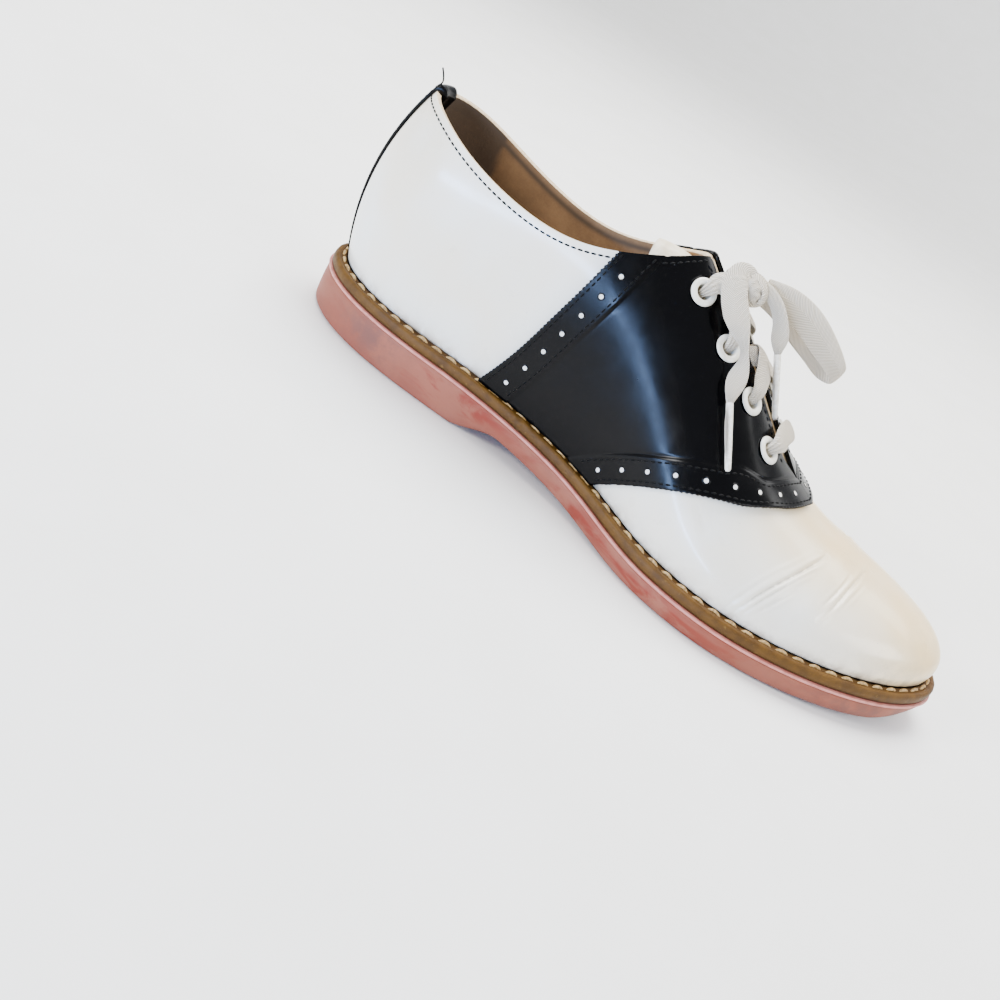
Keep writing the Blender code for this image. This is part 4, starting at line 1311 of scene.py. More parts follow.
@dataclass
class Welt:
    """The leather strip stitched round the sole, with its stitches sunk in a groove."""

    finishes: Finishes
    thickness: float = 0.0043
    seat: float = 0.0022
    stitch_inset: float = 0.0036
    stitch: Stitch = Stitch(0.0066, 0.0060, 0.0013, 0.45)

    def build(self) -> None:
        """Build the welt, frayed in one place, and its row of crescent stitches."""
        arcs = stations(0.0011, 0.0011)
        tall = self.thickness
        inner = LAST.ledge + UpperShell.thickness + self.seat
        # From the outer foot over the top to the inner foot: distance inside the outline, and height
        profile = (
            (0.0006, 0.0003), (0.0003, 0.0007), (0.0002, 0.0016), (0.0003, 0.0028), (0.0006, tall - 0.0006),
            (0.0011, tall - 0.0001), (0.0018, tall), (0.0024, tall - 0.0001), (0.0029, tall - 0.0004),
            (0.0034, tall - 0.0004), (0.0039, tall - 0.0001), (0.0044, tall), (0.0049, tall - 0.0004),
            (0.0054, tall - 0.0008), (inner, tall - 0.0008), (inner, 0.0003),
        )
        stack = np.stack([ring(arcs, inset, lambda x, r=rise: LAST.seat(x) + r) for inset, rise in profile])
        x = stack[..., 0]
        rng = np.random.default_rng(7)
        rough = rng.normal(0.0, 1.0, stack.shape) * np.exp(-(((x - 0.105) / 0.006) ** 2))[..., None]
        stack += 0.22 * MM * rough + 0.035 * MM * rng.normal(0.0, 1.0, stack.shape)
        # Painted shade at each point of the profile, from 0 to 1: most beside the upper, some in the stitch
        # channel; the outer foot is darker too
        level = np.array(
            [0.8, 0.6, 0.35, 0.3, 0.25, 0.1, 0.05, 0.15, 0.35, 0.35, 0.2, 0.4, 0.65, 0.85, 0.9, 0.9]
        )
        draft = Draft()
        closed = np.concatenate([stack, stack[:1]])
        marks = np.broadcast_to(level[:, None], stack.shape[:2])
        draft.grid(closed, closed=True, shade=np.concatenate([marks, marks[:1]]))
        dress(draft.make("welt_strip", [self.finishes.welt]), "welt", "welt")
        line = ring(arcs, self.stitch_inset, lambda x: LAST.seat(x) + tall + 0.05 * MM)
        line = np.vstack([line, line[:1]])
        draft = Draft()
        up = np.tile([0.0, 0.0, 1.0], (len(line), 1))
        self.stitch.sew(draft, line, up)
        dress(draft.make("welt_stitches", [self.finishes.thread]), "welt")


Crease = Sequence[tuple[float, float, float]]


@dataclass
class UpperShell:
    """The white upper in one, lined inside, creased over the toes where the shoe flexes."""

    finishes: Finishes
    thickness: float = 0.0022
    rows: int = 92
    hole: float = 0.0040
    crease_zone: tuple[float, float] = (0.165, 0.245)
    crease_reach: float = 0.012
    stitch_start: float = 0.0062
    stitch_end: float = 0.1005
    stitch_drop: float = 0.0026
    stitch: Stitch = Stitch(0.0024, 0.0023, 0.0007)
    # Each crease: its route, its depth and its width in millimetres
    creases: tuple[tuple[Crease, float, float], ...] = (
        (((0.2044, -0.0440, 0.0153), (0.2066, -0.0427, 0.0214), (0.2091, -0.0387, 0.0272),
          (0.2128, -0.0316, 0.0327), (0.2162, -0.0227, 0.0366), (0.2191, -0.0122, 0.0395)), 0.80, 0.62),
        (((0.2073, -0.0440, 0.0170), (0.2094, -0.0418, 0.0230), (0.2117, -0.0380, 0.0278),
          (0.2150, -0.0310, 0.0330), (0.2183, -0.0228, 0.0365)), 0.60, 0.50),
        (((0.2015, -0.0445, 0.0160), (0.2036, -0.0435, 0.0222), (0.2060, -0.0398, 0.0285),
          (0.2098, -0.0320, 0.0345), (0.2135, -0.0230, 0.0385), (0.2165, -0.0130, 0.0405)), 0.50, 0.55),
        (((0.2110, -0.0425, 0.0200), (0.2140, -0.0390, 0.0258), (0.2172, -0.0330, 0.0310)), 0.35, 0.45),
        (((0.2285, -0.0330, 0.0270), (0.2301, -0.0277, 0.0308), (0.2311, -0.0194, 0.0351),
          (0.2329, -0.0050, 0.0389), (0.2335, 0.0050, 0.0392)), 0.50, 0.55),
        (((0.2265, -0.0310, 0.0295), (0.2283, -0.0220, 0.0345), (0.2295, -0.0110, 0.0380)), 0.34, 0.45),
        (((0.2330, -0.0245, 0.0318), (0.2342, -0.0160, 0.0355), (0.2360, -0.0060, 0.0375)), 0.30, 0.45),
        (((0.1739, -0.0389, 0.0364), (0.1780, -0.0405, 0.0335), (0.1816, -0.0416, 0.0303)), 0.18, 0.90),
        (((0.1854, -0.0400, 0.0329), (0.1904, -0.0402, 0.0312)), 0.16, 0.90),
        (((0.2140, 0.0440, 0.0200), (0.2180, 0.0400, 0.0285), (0.2215, 0.0300, 0.0355),
          (0.2225, 0.0180, 0.0395)), 0.60, 1.00),
        (((0.2195, 0.0430, 0.0205), (0.2225, 0.0380, 0.0290), (0.2250, 0.0290, 0.0350)), 0.35, 0.80),
        (((0.2320, 0.0390, 0.0230), (0.2345, 0.0320, 0.0300), (0.2360, 0.0220, 0.0350)), 0.35, 0.80),
    )

    def folds(self, points: Array) -> tuple[Array, Array]:
        """Work out how far the creases push the surface.

        Args:
            points: Places on the last.

        Returns:
            The push outwards in metres and how deep in a crease each point lies, from 0 to 1, which sets the
            painted crease shade.
        """
        push = np.zeros(len(points))
        deep = np.zeros(len(points))
        rear, front = self.crease_zone
        zone = np.flatnonzero((points[:, 0] > rear) & (points[:, 0] < front))
        near = points[zone]
        for route, depth, width in self.creases:
            gap, share = nearest(near, smooth_route(route, ROUTE_STEP))
            fade = np.sin(math.pi * np.clip(share, 0.02, 0.98)) ** 0.6 * (gap < self.crease_reach)
            reach = gap / (width * MM)
            form = 0.55 * np.exp(-(((reach - 2.3) / 1.3) ** 2)) - np.exp(-(reach**2))
            push[zone] += fade * depth * MM * form
            deep[zone] = np.maximum(deep[zone], fade * depth * np.exp(-((reach / 0.7) ** 2)))
        # The leather sinks over the toe joints and bulges between the two sets of creases
        bulge = 0.5 * MM * np.exp(-(((points[:, 0] - 0.2245) / 0.0045) ** 2))
        push += bulge * ease(0.018, 0.030, points[:, 2])
        return push, np.clip(deep * 1.3, 0.0, 1.0)

    def build(self) -> None:
        """Build the wall, push the creases into it and open it for the eyelets."""
        arcs = stations(0.0022, 0.0005, 0.192, 0.250)
        draft = Draft()
        for side in Side:
            ups = np.outer(rib_shares(self.rows), LAST.rib_end(side, arcs[side]))
            draft.grid(LAST.on_rib(side, np.tile(arcs[side], (self.rows, 1)), ups))
        leathers = [self.finishes.upper, self.finishes.lining, self.finishes.raw]
        item = draft.make("upper_shell", leathers, INSIDE)
        mesh = item.data
        count = len(mesh.vertices)
        place = np.empty(count * 3, dtype=np.float32)
        facing = np.empty(count * 3, dtype=np.float32)
        mesh.vertices.foreach_get("co", place)
        mesh.vertex_normals.foreach_get("vector", facing)
        place = place.reshape(-1, 3) + np.array([LAST.length / 2.0, LAST.middle, 0.0])
        push, deep = self.folds(place)
        foot = place[:, 2] - LAST.seat(place[:, 0]) - (LAST.welt + LAST.gap)
        push *= ease(0.0005, 0.004, foot)
        grime = 0.9 * np.exp(-foot / 0.0022) + 0.35 * ease(0.235, 0.262, place[:, 0]) * np.exp(-foot / 0.012)
        under = LAST.column(LAST.collar, 1, place[:, 0]) - place[:, 2]
        counter = 0.85 * (1.0 - ease(0.0300, 0.0315, place[:, 0]))
        counter += 0.9 * np.exp(-(((under - 0.0028) / 0.0012) ** 2))
        warmth = 0.75 * ease(-0.040, -0.004, place[:, 1]) * ease(0.13, 0.18, place[:, 0])
        warmth += 0.12 * ease(0.03, 0.06, place[:, 2])
        # The fold mark sets painted shade in the creases; grime marks dirt along the welt and at the toe
        marks = {"fold": deep, "warmth": warmth}
        marks |= {"grime": np.clip(grime, 0, 1), "counter": np.clip(counter, 0, 0.9)}
        for name, values in marks.items():
            layer = mesh.attributes.new(name, "FLOAT", "POINT")
            layer.data.foreach_set("value", values.astype(np.float32))
        place += facing.reshape(-1, 3) * push[:, None]
        mesh.vertices.foreach_set("co", LAST.frame(place).astype(np.float32).ravel())
        open_holes(item, self.hole)
        wall(item, self.thickness, False, 1, 2)
        dress(item, "upper", "upper")
        self.collar_stitches()

    def collar_stitches(self) -> None:
        """Sew the small black row under the collar's edge."""
        draft = Draft()
        for side in Side:
            first = self.stitch_start / LAST.girth[side]
            arcs = np.linspace(first, LAST.arc_at(side, self.stitch_end), 220)
            self.stitch.sew(draft, *LAST.below_edge(side, arcs, self.stitch_drop, 0.05 * MM))
        dress(draft.make("collar_stitches", [self.finishes.stitch]), "upper")


EYELET_ROWS = (0.1311, 0.1490, 0.1655, 0.1800)
EYELET_REACH = LAST.slit / 2.0 + 0.0095


def eyelet_place(side: Side, along: float, offset: float = 0.0) -> tuple[Array, Array]:
    """Middle of an eyelet and the direction in which it faces."""
    point, normal = LAST.over_instep([along], [side.value * EYELET_REACH], [offset])
    return point[0], normal[0]


@dataclass
class SaddlePanel:
    """The black saddle with its two punched bands, pinked along both edges."""

    finishes: Finishes
    thickness: float = 0.0013
    rows: int = 210
    band_step: float = 0.00035
    tooth: float = 0.0017
    tooth_depth: float = 0.0005
    hole: float = 0.0036
    # The rear band's rows end at this share of the ribs, short of the collar's edge
    rear_top: float = 0.972
    # The rows along the collar and the facing: where they begin and end, and how far inside the edge
    collar_row: tuple[float, float, float] = (0.1045, 0.1340, 0.0030)
    facing_row: tuple[float, float, float] = (0.127, 0.186, 0.0026)
    first_hole: float = 0.0045
    band_stitch: Stitch = Stitch(0.0026, 0.0022, 0.0007)
    fine_stitch: Stitch = Stitch(0.0026, 0.0020, 0.0006)
    # For each band: its width, its two stitch rows, its row of holes and their pitch
    bands: tuple[tuple[Band, float, float, float, float, float], ...] = (
        (Band.REAR, 0.0122, 0.0020, 0.0109, 0.0068, 0.0094),
        (Band.FRONT, 0.0100, 0.0019, 0.0087, 0.0053, 0.0103),
    )
    # Share up the ribs, and the places of the rear and the front edge as shares of the length
    cut: tuple[tuple[float, float, float], ...] = (
        (0.00, 0.300, 0.495), (0.25, 0.323, 0.580), (0.50, 0.339, 0.652), (0.75, 0.353, 0.712),
        (1.00, 0.363, 0.745),
    )
    # The pressed ring round a hole: radius and height in millimetres
    press: tuple[tuple[float, float], ...] = (
        (1.45, -0.06), (1.25, 0.08), (1.05, 0.14), (0.88, 0.08), (0.75, -0.05),
    )

    def edges(self, side: Side, up: Array) -> dict[Band, tuple[Array, Array]]:
        """Both edges at shares up the ribs.

        Args:
            side: Which side.
            up: Shares of each rib's own length.

        Returns:
            For the rear and the front edge, its place along the shoe and how far one metre inwards moves it.
        """
        table = np.array(self.cut)
        found = {}
        for index, band in enumerate(Band, 1):
            along = smooth_through(table[:, 0], table[:, index], up) * LAST.length
            here = self.place(side, along, up, 0.0)[0]
            beside = self.place(side, along + band.value * MM, up, 0.0)[0]
            tangent = unit(np.gradient(here, axis=0))
            apart = np.linalg.norm(np.cross(tangent, beside - here), axis=1)
            gain = band.value * MM / np.maximum(apart, 0.2 * MM)
            # Near the ridge the ribs crowd round the slit's end, so the last steady value is kept
            found[band] = along, np.interp(np.minimum(up, 0.80), up, gain)
        return found

    def place(self, side: Side, along: Array, up: Array, offset: Array | float) -> tuple[Array, Array]:
        """Points over the ribs that start at given places along the shoe.

        Args:
            side: Which side.
            along: Distances from the back of the heel.
            up: Shares of each rib's own length.
            offset: Distance outside the last.

        Returns:
            The points and the outward directions there.
        """
        arc = LAST.arc_at(side, along)
        ends = LAST.rib_end(side, np.ravel(arc)).reshape(np.shape(arc))
        return LAST.off_rib(side, arc, up * ends, offset)

    def inset_line(
        self, side: Side, band: Band, inset: float, offset: float, top: float = 1.0
    ) -> tuple[Array, Array]:
        """Line at a distance inside one of the edges.

        Args:
            side: Which side.
            band: The band along that edge.
            inset: Distance inside it.
            offset: Distance outside the last.
            top: Share up the ribs at which the line ends.

        Returns:
            The points and the outward directions along it.
        """
        up = np.linspace(0.03, top, 160)
        along, gain = self.edges(side, up)[band]
        return self.place(side, along + gain * inset, up, offset)

    def build(self) -> None:
        """Build the panel, its seams and its punched holes."""
        up = rib_shares(self.rows, 1.1)
        draft = Draft()
        # Columns across each band as shares of its width, the last two just past its inner edge
        near = np.array([0.0, 0.08, 0.13, 0.20, 0.33, 0.50, 0.66, 0.83, 0.95, 1.0, 1.05, 1.10])
        for side in Side:
            found = self.edges(side, up)
            rear, front = (
                found[band][0][:, None] + found[band][1][:, None] * near[None, :] * width
                for band, width, *_ in self.bands
            )
            share = np.linspace(0.0, 1.0, 46)[1:-1]
            middle = rear[:, -1:] + (front[:, -1:] - rear[:, -1:]) * share[None, :]
            along = np.concatenate([rear, middle, front[:, ::-1]], axis=1)
            for column, band, edge in ((0, Band.REAR, rear[:, 0]), (-1, Band.FRONT, front[:, 0])):
                chord = lengths(self.place(side, edge, up, 0.0)[0])
                teeth = self.tooth_depth * np.abs((chord / self.tooth) % 1.0 * 2.0 - 1.0)
                along[:, column] += teeth * found[band][1]
            step = self.band_step * (near < 1.02)
            lift = np.concatenate([step, np.zeros(len(share)), step[::-1]]) + 2.0 * LAST.gap
            grid = self.place(side, along, up[:, None] + 0.0 * along, lift[None, :] + 0.0 * along)[0]
            grid[0, :, 2] += LAST.gap
            draft.grid(grid)
        item = draft.make("saddle_panel", [self.finishes.saddle], INSIDE)
        open_holes(item, self.hole)
        wall(item, self.thickness, True)
        dress(item, "saddle", "saddle")
        self.sew()
        self.punch()

    def sew(self) -> None:
        """Sew two rows along each band, one below the collar and one beside the facing."""
        draft = Draft()
        top = 2.0 * LAST.gap + self.thickness
        for side in Side:
            for band, _, outer_row, inner_row, _, _ in self.bands:
                for inset in (outer_row, inner_row):
                    share = self.rear_top if band is Band.REAR else 1.0
                    line, facing = self.inset_line(side, band, inset, top + self.band_step + 0.02 * MM, share)
                    self.band_stitch.sew(draft, line, facing)
            first, last, inset = self.collar_row
            arcs = np.linspace(LAST.arc_at(side, first), LAST.arc_at(side, last), 60)
            self.band_stitch.sew(draft, *LAST.below_edge(side, arcs, inset, top + 0.02 * MM))
            first, last, inset = self.facing_row
            along = np.linspace(first, last, 90)
            reach = side.value * (LAST.slit / 2.0 + inset)
            self.fine_stitch.sew(draft, *LAST.over_instep(along, reach, top + 0.02 * MM))
        dress(draft.make("saddle_stitches", [self.finishes.stitch]), "saddle")

    def punch(self) -> None:
        """Punch the bands: each hole shows the white upper inside a pressed ring."""
        rings, backing = Draft(), Draft()
        top = 2.0 * LAST.gap + self.thickness + self.band_step
        turn = np.linspace(0.0, 2.0 * math.pi, 24, endpoint=False)
        for side in Side:
            for band, _, _, _, inset, pitch in self.bands:
                line, facing = self.inset_line(side, band, inset, top)
                chord = lengths(line)
                # The rear row ends below the collar's stitches
                for at in np.arange(self.first_hole, chord[-1] - 0.007 * (band is Band.REAR) - 0.002, pitch):
                    centre = read(line, chord, at)
                    up = unit(read(facing, chord, at))
                    flat = circle(up, turn)
                    grid = [centre + flat * radius * MM + up * rise * MM for radius, rise in self.press]
                    rings.grid(np.stack(grid), closed=True)
                    backing.put(centre + flat * 0.9 * MM + up * 0.03 * MM, [tuple(range(24))])
        dress(rings.make("punched_rings", [self.finishes.saddle]), "saddle")
        dress(backing.make("punched_backing", [self.finishes.hole]), "saddle")


@dataclass
class BackStrip:
    """The black strip over the back seam, folded over the rim, with a loose end of thread."""

    finishes: Finishes
    width: float = 0.0114
    thickness: float = 0.0012
    fold: float = 0.008
    rows: int = 70
    seam_reach: float = 0.0037
    thread_reach: float = 0.003
    thread: float = 0.33 * MM
    stitch: Stitch = Stitch(0.0026, 0.0020, 0.0006)

    def outer_line(self, side: Side, arc: float, offset: float) -> tuple[Array, Array, float]:
        """Points up the strip on one rib.

        Args:
            side: Which side.
            arc: Share of that side's outline, where the rib starts.
            offset: Distance outside the last.

        Returns:
            The points, the outward directions there and the share at which the rib ends.
        """
        end = float(LAST.rib_end(side, np.array([arc]))[0])
        up = np.linspace(0.0, end, self.rows)
        return *LAST.off_rib(side, arc + 0.0 * up, up, offset), end

    def build(self) -> None:
        """Build the strip, its two seams and the thread."""
        columns = []
        for share in np.linspace(-1.0, 1.0, 11):
            side = Side.LATERAL if share < 0.0 else Side.MEDIAL
            arc = abs(share) * self.width / 2.0 / LAST.girth[side]
            outside, _, end = self.outer_line(side, arc, LAST.gap)
            outside[0, 2] += LAST.gap
            one = np.array([end])
            rim, normal = (v[0] for v in LAST.off_rib(side, np.array([arc]), one))
            rise = rim - LAST.on_rib(side, np.array([arc]), one - 0.01)[0]
            rise = unit(rise)
            inner = UpperShell.thickness + 3.0 * LAST.gap
            fold = []
            for a in np.linspace(0.0, math.pi, 9)[1:-1]:
                point = rim + normal * (inner * (math.cos(a) - 1.0) / 2.0 + LAST.gap)
                fold.append(point + rise * inner * 0.42 * math.sin(a))
            low = end - self.fold / np.linalg.norm(rim - LAST.on_rib(side, np.array([arc]), np.zeros(1))[0])
            back = np.linspace(end, low, 8)
            inside = LAST.off_rib(side, arc + 0.0 * back, back, -inner)[0]
            columns.append(np.vstack([outside, fold, inside]))
        draft = Draft()
        draft.grid(np.stack(columns, axis=1))
        item = draft.make("back_strip_leather", [self.finishes.saddle])
        mesh = item.data
        lowest = max(mesh.polygons, key=lambda f: -f.center.x)
        if lowest.normal.x > 0.0:
            mesh.flip_normals()
        wall(item, self.thickness, True)
        dress(item, "back_strip", "back_strip")
        draft = Draft()
        for side in Side:
            arc = self.seam_reach / LAST.girth[side]
            line, facing, _ = self.outer_line(side, arc, LAST.gap + self.thickness)
            self.stitch.sew(draft, line[3:], facing[3:])
        arc = self.thread_reach / LAST.girth[Side.LATERAL]
        start = self.outer_line(Side.LATERAL, arc, LAST.gap + self.thickness)[0][-1]
        bends = ((0.0, 0.0, 0.0), (0.0008, 0.0004, 0.0016), (0.0, 0.0010, 0.0034), (-0.0022, 0.0017, 0.0058))
        tail = smooth_route([start + bend for bend in bends], ROUTE_STEP)
        ahead = unit(np.gradient(tail, axis=0))
        first = unit(np.cross(ahead, (0.0, 0.0, 1.0)))
        second = np.cross(ahead, first)
        turn = np.linspace(0.0, 2.0 * math.pi, 8, endpoint=False)
        cosine, sine = (wave(turn)[None, :, None] for wave in (np.cos, np.sin))
        around = first[:, None, :] * cosine + second[:, None, :] * sine
        draft.grid(tail[:, None, :] + self.thread * around, closed=True)
        dress(draft.make("back_strip_stitches", [self.finishes.stitch]), "back_strip")


@dataclass
class Tongue:
    """The cream leather tongue under the lacing, its top lying back into the opening."""

    finishes: Finishes
    thickness: float = 0.0026
    width: float = 0.046
    top: float = 0.108
    end: float = 0.200
    fold: float = 0.132
    drop: float = 0.013

    def build(self) -> None:
        """Build the tongue with a softly waved top."""
        spread = np.linspace(self.top, self.end, 80), np.linspace(-1.0, 1.0, 50)
        along, share = np.meshgrid(*spread, indexing="ij")
        corner = 0.006 * np.abs(share) ** 3 * (1.0 - ease(self.top, self.top + 0.02, along))
        across = share * self.width / 2.0
        points = LAST.over_instep(along + corner, across, -UpperShell.thickness - 2.0 * LAST.gap)[0]
        lying = np.clip((self.fold - along) / (self.fold - self.top), 0.0, 1.0)
        points[..., 2] -= self.drop * lying**1.4 + 0.0006 * lying * np.sin(6.0 * share + 1.0)
        draft = Draft()
        draft.grid(points)
        leathers = [self.finishes.tongue, self.finishes.lining, self.finishes.raw]
        item = draft.make("tongue_leather", leathers, INSIDE)
        wall(item, self.thickness, False, 1, 2)
        dress(item, "tongue", "tongue")


@dataclass
class EyeletSet:
    """Eight enamelled eyelets, each a rounded flange with a barrel down to the tongue."""

    finishes: Finishes
    bore: float = 0.0027
    radius: float = 0.0050
    flange: float = 0.0009
    foot: float = 0.25 * MM
    barrel: float = 0.0004

    def build(self) -> None:
        """Turn one eyelet for each hole."""
        base = SaddlePanel.thickness + 3.0 * LAST.gap
        low = -(SaddlePanel.thickness + UpperShell.thickness + LAST.gap)
        middle, half = (self.bore + self.radius) / 2.0, (self.radius - self.bore) / 2.0
        bend = np.linspace(math.pi, 0.0, 11)
        profile = [(self.bore + self.barrel, low), (self.bore, low), (self.bore, 0.0)]
        crown = self.flange - self.foot
        profile += [(middle + half * math.cos(a), self.foot + crown * math.sin(a)) for a in bend]
        profile += [(self.radius, 0.0), (self.bore + self.barrel, 0.0), (self.bore + self.barrel, low)]
        turn = np.linspace(0.0, 2.0 * math.pi, 48, endpoint=False)
        for side in Side:
            for row, along in enumerate(EYELET_ROWS):
                centre, up = eyelet_place(side, along, base)
                flat = circle(up, turn)
                draft = Draft()
                draft.grid(np.stack([centre + flat * r + up * z for r, z in profile]), closed=True)
                word = side.name.lower()
                item = draft.make(f"eyelet_ring_{word}_{row + 1}", [self.finishes.eyelet])
                dress(item, "eyelet", f"eyelet_{word}_{row + 1}")


@dataclass
class Lacing:
    """The flat lace where it comes out of the eyelets and crosses the tongue."""

    finishes: Finishes
    width: float = 0.0085
    climb: float = 0.010
    crossing: float = 0.0175
    # Distance from the hole, height over the last and share of the lace's width
    leaving: tuple[tuple[float, float, float], ...] = (
        (0.0000, -0.0040, 0.28), (0.0000, -0.0015, 0.32), (0.0001, 0.0010, 0.36), (0.0007, 0.0030, 0.46),
        (0.0020, 0.0043, 0.62), (0.0040, 0.0047, 0.84), (0.0065, 0.0045, 0.98), (0.0100, 0.0040, 1.0),
        (0.0140, 0.0038, 1.0),
    )

    def strand(
        self, side: Side, along: float, climb: float, extra: Sequence[tuple[float, float, float]], lift: float
    ) -> tuple[Array, Array, Array, Array]:
        """Stretch of lace from an eyelet towards the other side.

        Args:
            side: Side of the eyelet.
            along: Its place from the back of the heel.
            climb: How far the lace climbs up the instep as it crosses.
            extra: More rows for the table of the way out of the hole.
            lift: Height added where it lies over another strand.

        Returns:
            Points, directions of the broad side, widths and gathering.
        """
        table = smooth_route([(a, o, 0.0, w) for a, o, w in (*self.leaving, *extra)], 0.0004)
        away, width = table[:, 0], table[:, 3]
        over = table[:, 1] + lift * ease(0.004, 0.009, away)
        place = along - climb * np.clip(away, 0.0, None) / self.crossing
        across = side.value * (EYELET_REACH - away)
        spine, facing = LAST.over_instep(place, across, over)
        return spine, facing, width * self.width, np.clip(1.35 - 1.4 * width, 0.0, 1.0)

    def build(self) -> None:
        """Lay the low bar and the two crossings, the near strand on top."""
        near = self.strand(Side.LATERAL, EYELET_ROWS[3], 0.0, (), 0.0)
        far = self.strand(Side.MEDIAL, EYELET_ROWS[3], 0.0, (), 0.0)
        draft = Draft()
        ribbon(draft, *(np.concatenate([a, b[-2::-1]]) for a, b in zip(near, far)))
        dress(draft.make("lace_low_bar", [self.finishes.lace]), "lace", "lace_bar_low")
        dive = ((0.0160, 0.0030, 0.95), (0.0176, 0.0008, 0.85), (0.0184, -0.0024, 0.75))
        for row, word in ((1, "upper"), (2, "lower")):
            draft = Draft()
            ribbon(draft, *self.strand(Side.MEDIAL, EYELET_ROWS[row], self.climb, dive, 0.0))
            ribbon(draft, *self.strand(Side.LATERAL, EYELET_ROWS[row], self.climb, dive, 0.0011))
            dress(draft.make(f"lace_{word}_crossing", [self.finishes.lace]), "lace", f"lace_crossing_{word}")


@dataclass
class Bow:
    """The knot, its loop towards the inner side and the two free ends with their tips."""

    finishes: Finishes
    width: float = 0.0085
    knot: tuple[float, float, float] = (0.1432, -0.0010, 0.0961)
    # Half the breadth, length and depth of the gathered lace inside the knot
    core: tuple[float, float, float] = (0.0048, 0.0072, 0.0041)
    # Direction in which the broad side of the ends and the loop looks
    outward: tuple[float, float, float] = (0.17, -0.87, 0.47)
    tip_length: float = 0.0230
    tip_radius: float = 0.0012
    # Each row of the routes: X, Y, Z, width in millimetres, turn of the broad side in degrees
    end_lateral: tuple[tuple[float, ...], ...] = (
        (0.1430, -0.0005, 0.0975, 5.0, 0.0), (0.1398, -0.0030, 0.0998, 7.5, 0.0),
        (0.1382, -0.0078, 0.0984, 10.4, 0.0), (0.1400, -0.0112, 0.0948, 11.4, 0.0),
        (0.1445, -0.0142, 0.0904, 9.6, 0.0), (0.1500, -0.0165, 0.0864, 6.4, 15.0),
        (0.1556, -0.0190, 0.0818, 3.4, 45.0), (0.1583, -0.0216, 0.0760, 6.4, 20.0),
        (0.1600, -0.0243, 0.0712, 5.8, 0.0), (0.1618, -0.0268, 0.0676, 2.4, 0.0),
        (0.1740, -0.0345, 0.0525, 1.5, 0.0),
    )
    end_medial: tuple[tuple[float, ...], ...] = (
        (0.1400, 0.0010, 0.0960, 5.0, 0.0), (0.1440, 0.0005, 0.0985, 5.0, 0.0),
        (0.1490, 0.0000, 0.0985, 4.6, 0.0), (0.1545, -0.0010, 0.0960, 4.8, 20.0),
        (0.1590, -0.0018, 0.0915, 5.6, 20.0), (0.1617, -0.0022, 0.0872, 5.6, 0.0),
        (0.1635, -0.0025, 0.0838, 2.4, 0.0), (0.1763, -0.0022, 0.0645, 1.5, 0.0),
    )
    loop_medial: tuple[tuple[float, ...], ...] = (
        (0.1464, 0.0040, 0.0987, 6.0, 0.0), (0.1550, 0.0085, 0.0985, 9.0, 0.0),
        (0.1650, 0.0130, 0.0955, 11.2, 0.0), (0.1745, 0.0180, 0.0905, 10.4, 0.0),
        (0.1812, 0.0222, 0.0862, 8.6, 0.0), (0.1838, 0.0262, 0.0826, 8.0, 0.0),
        (0.1803, 0.0280, 0.0818, 8.8, 0.0), (0.1738, 0.0248, 0.0845, 9.6, 0.0),
        (0.1638, 0.0194, 0.0884, 8.6, 0.0), (0.1550, 0.0145, 0.0916, 6.5, 0.0),
        (0.1475, 0.0085, 0.0936, 5.0, 0.0),
    )

    def tip(self, name: str, node: str, start: Array, end: Array) -> bpy.types.Object:
        """Build the stiff tip on one end of the lace.

        Args:
            name: The piece's name.
            node: The CAD node that it stands for.
            start: Where the woven lace runs into it.
            end: A point further along it.

        Returns:
            The tip.
        """
        way = (end - start) / np.linalg.norm(end - start)
        first = unit(np.cross(way, (0.0, 1.0, 0.0)))
        second = np.cross(way, first)
        turn = np.linspace(0.0, 2.0 * math.pi, 28, endpoint=False)
        flat = first * np.cos(turn)[:, None] + 0.88 * second * np.sin(turn)[:, None]
        # Distance from the lace, and share of the tip's radius
        profile = (
            (0.0, 0.80), (0.0002, 1.05), (0.0010, 1.04), (0.012, 1.0), (0.0195, 0.92), (0.0222, 0.84),
            (0.0228, 0.62), (self.tip_length, 0.2),
        )
        draft = Draft()
        stack = np.stack([start + way * at + flat * self.tip_radius * fat for at, fat in profile])
        draft.grid(stack, closed=True)
        draft.close([tuple(range(28)), tuple(range(7 * 28, 8 * 28))])
        item = draft.make(name, [self.finishes.aglet])
        return dress(item, "aglet", node)

    def free_end(self, name: str, node: str, rows: Sequence[Sequence[float]]) -> None:
        """Args:
            name: The piece's name.
            node: The CAD node that it stands for.
            rows: Its table of places, widths and turns.
        """
        table = smooth_route(rows, ROUTE_STEP)
        route = table[:, :3]
        draft = Draft()
        widths = np.clip(table[:, 3], 1.5, 9.0) * MM
        facing = turned(route, np.array(self.outward), table[:, 4])
        ribbon(draft, route, facing, widths, np.clip(1.0 - table[:, 3] / 6.0, 0.0, 0.7))
        item = dress(draft.make(name, [self.finishes.lace]), "lace", node)

    def wrap(self) -> None:
        """Build the knot: the lace drawn round itself, over the gathered roots of both ends."""
        draft = Draft()
        turn = np.linspace(math.radians(-200.0), math.radians(160.0), 90)
        centre = np.array(self.knot)
        slope = np.array((0.80, 0.0, -0.60))
        rise = np.array((0.60, 0.0, 0.80))
        radial = slope * np.cos(turn)[:, None] + rise * np.sin(turn)[:, None]
        shift = np.array((0.0, 1.0, 0.0)) * (0.0012 * np.sin(turn / 2.0))[:, None]
        round_wrap = 5.0 * MM * (1.0 + 0.08 * np.cos(2.0 * turn))[:, None]
        route = centre + radial * round_wrap * (0.95, 1.0, 0.82) + shift
        widths = (7.4 + 0.9 * np.sin(turn)) * MM
        ribbon(draft, route, radial, widths, 0.55 + 0.0 * turn, curl=0.10)
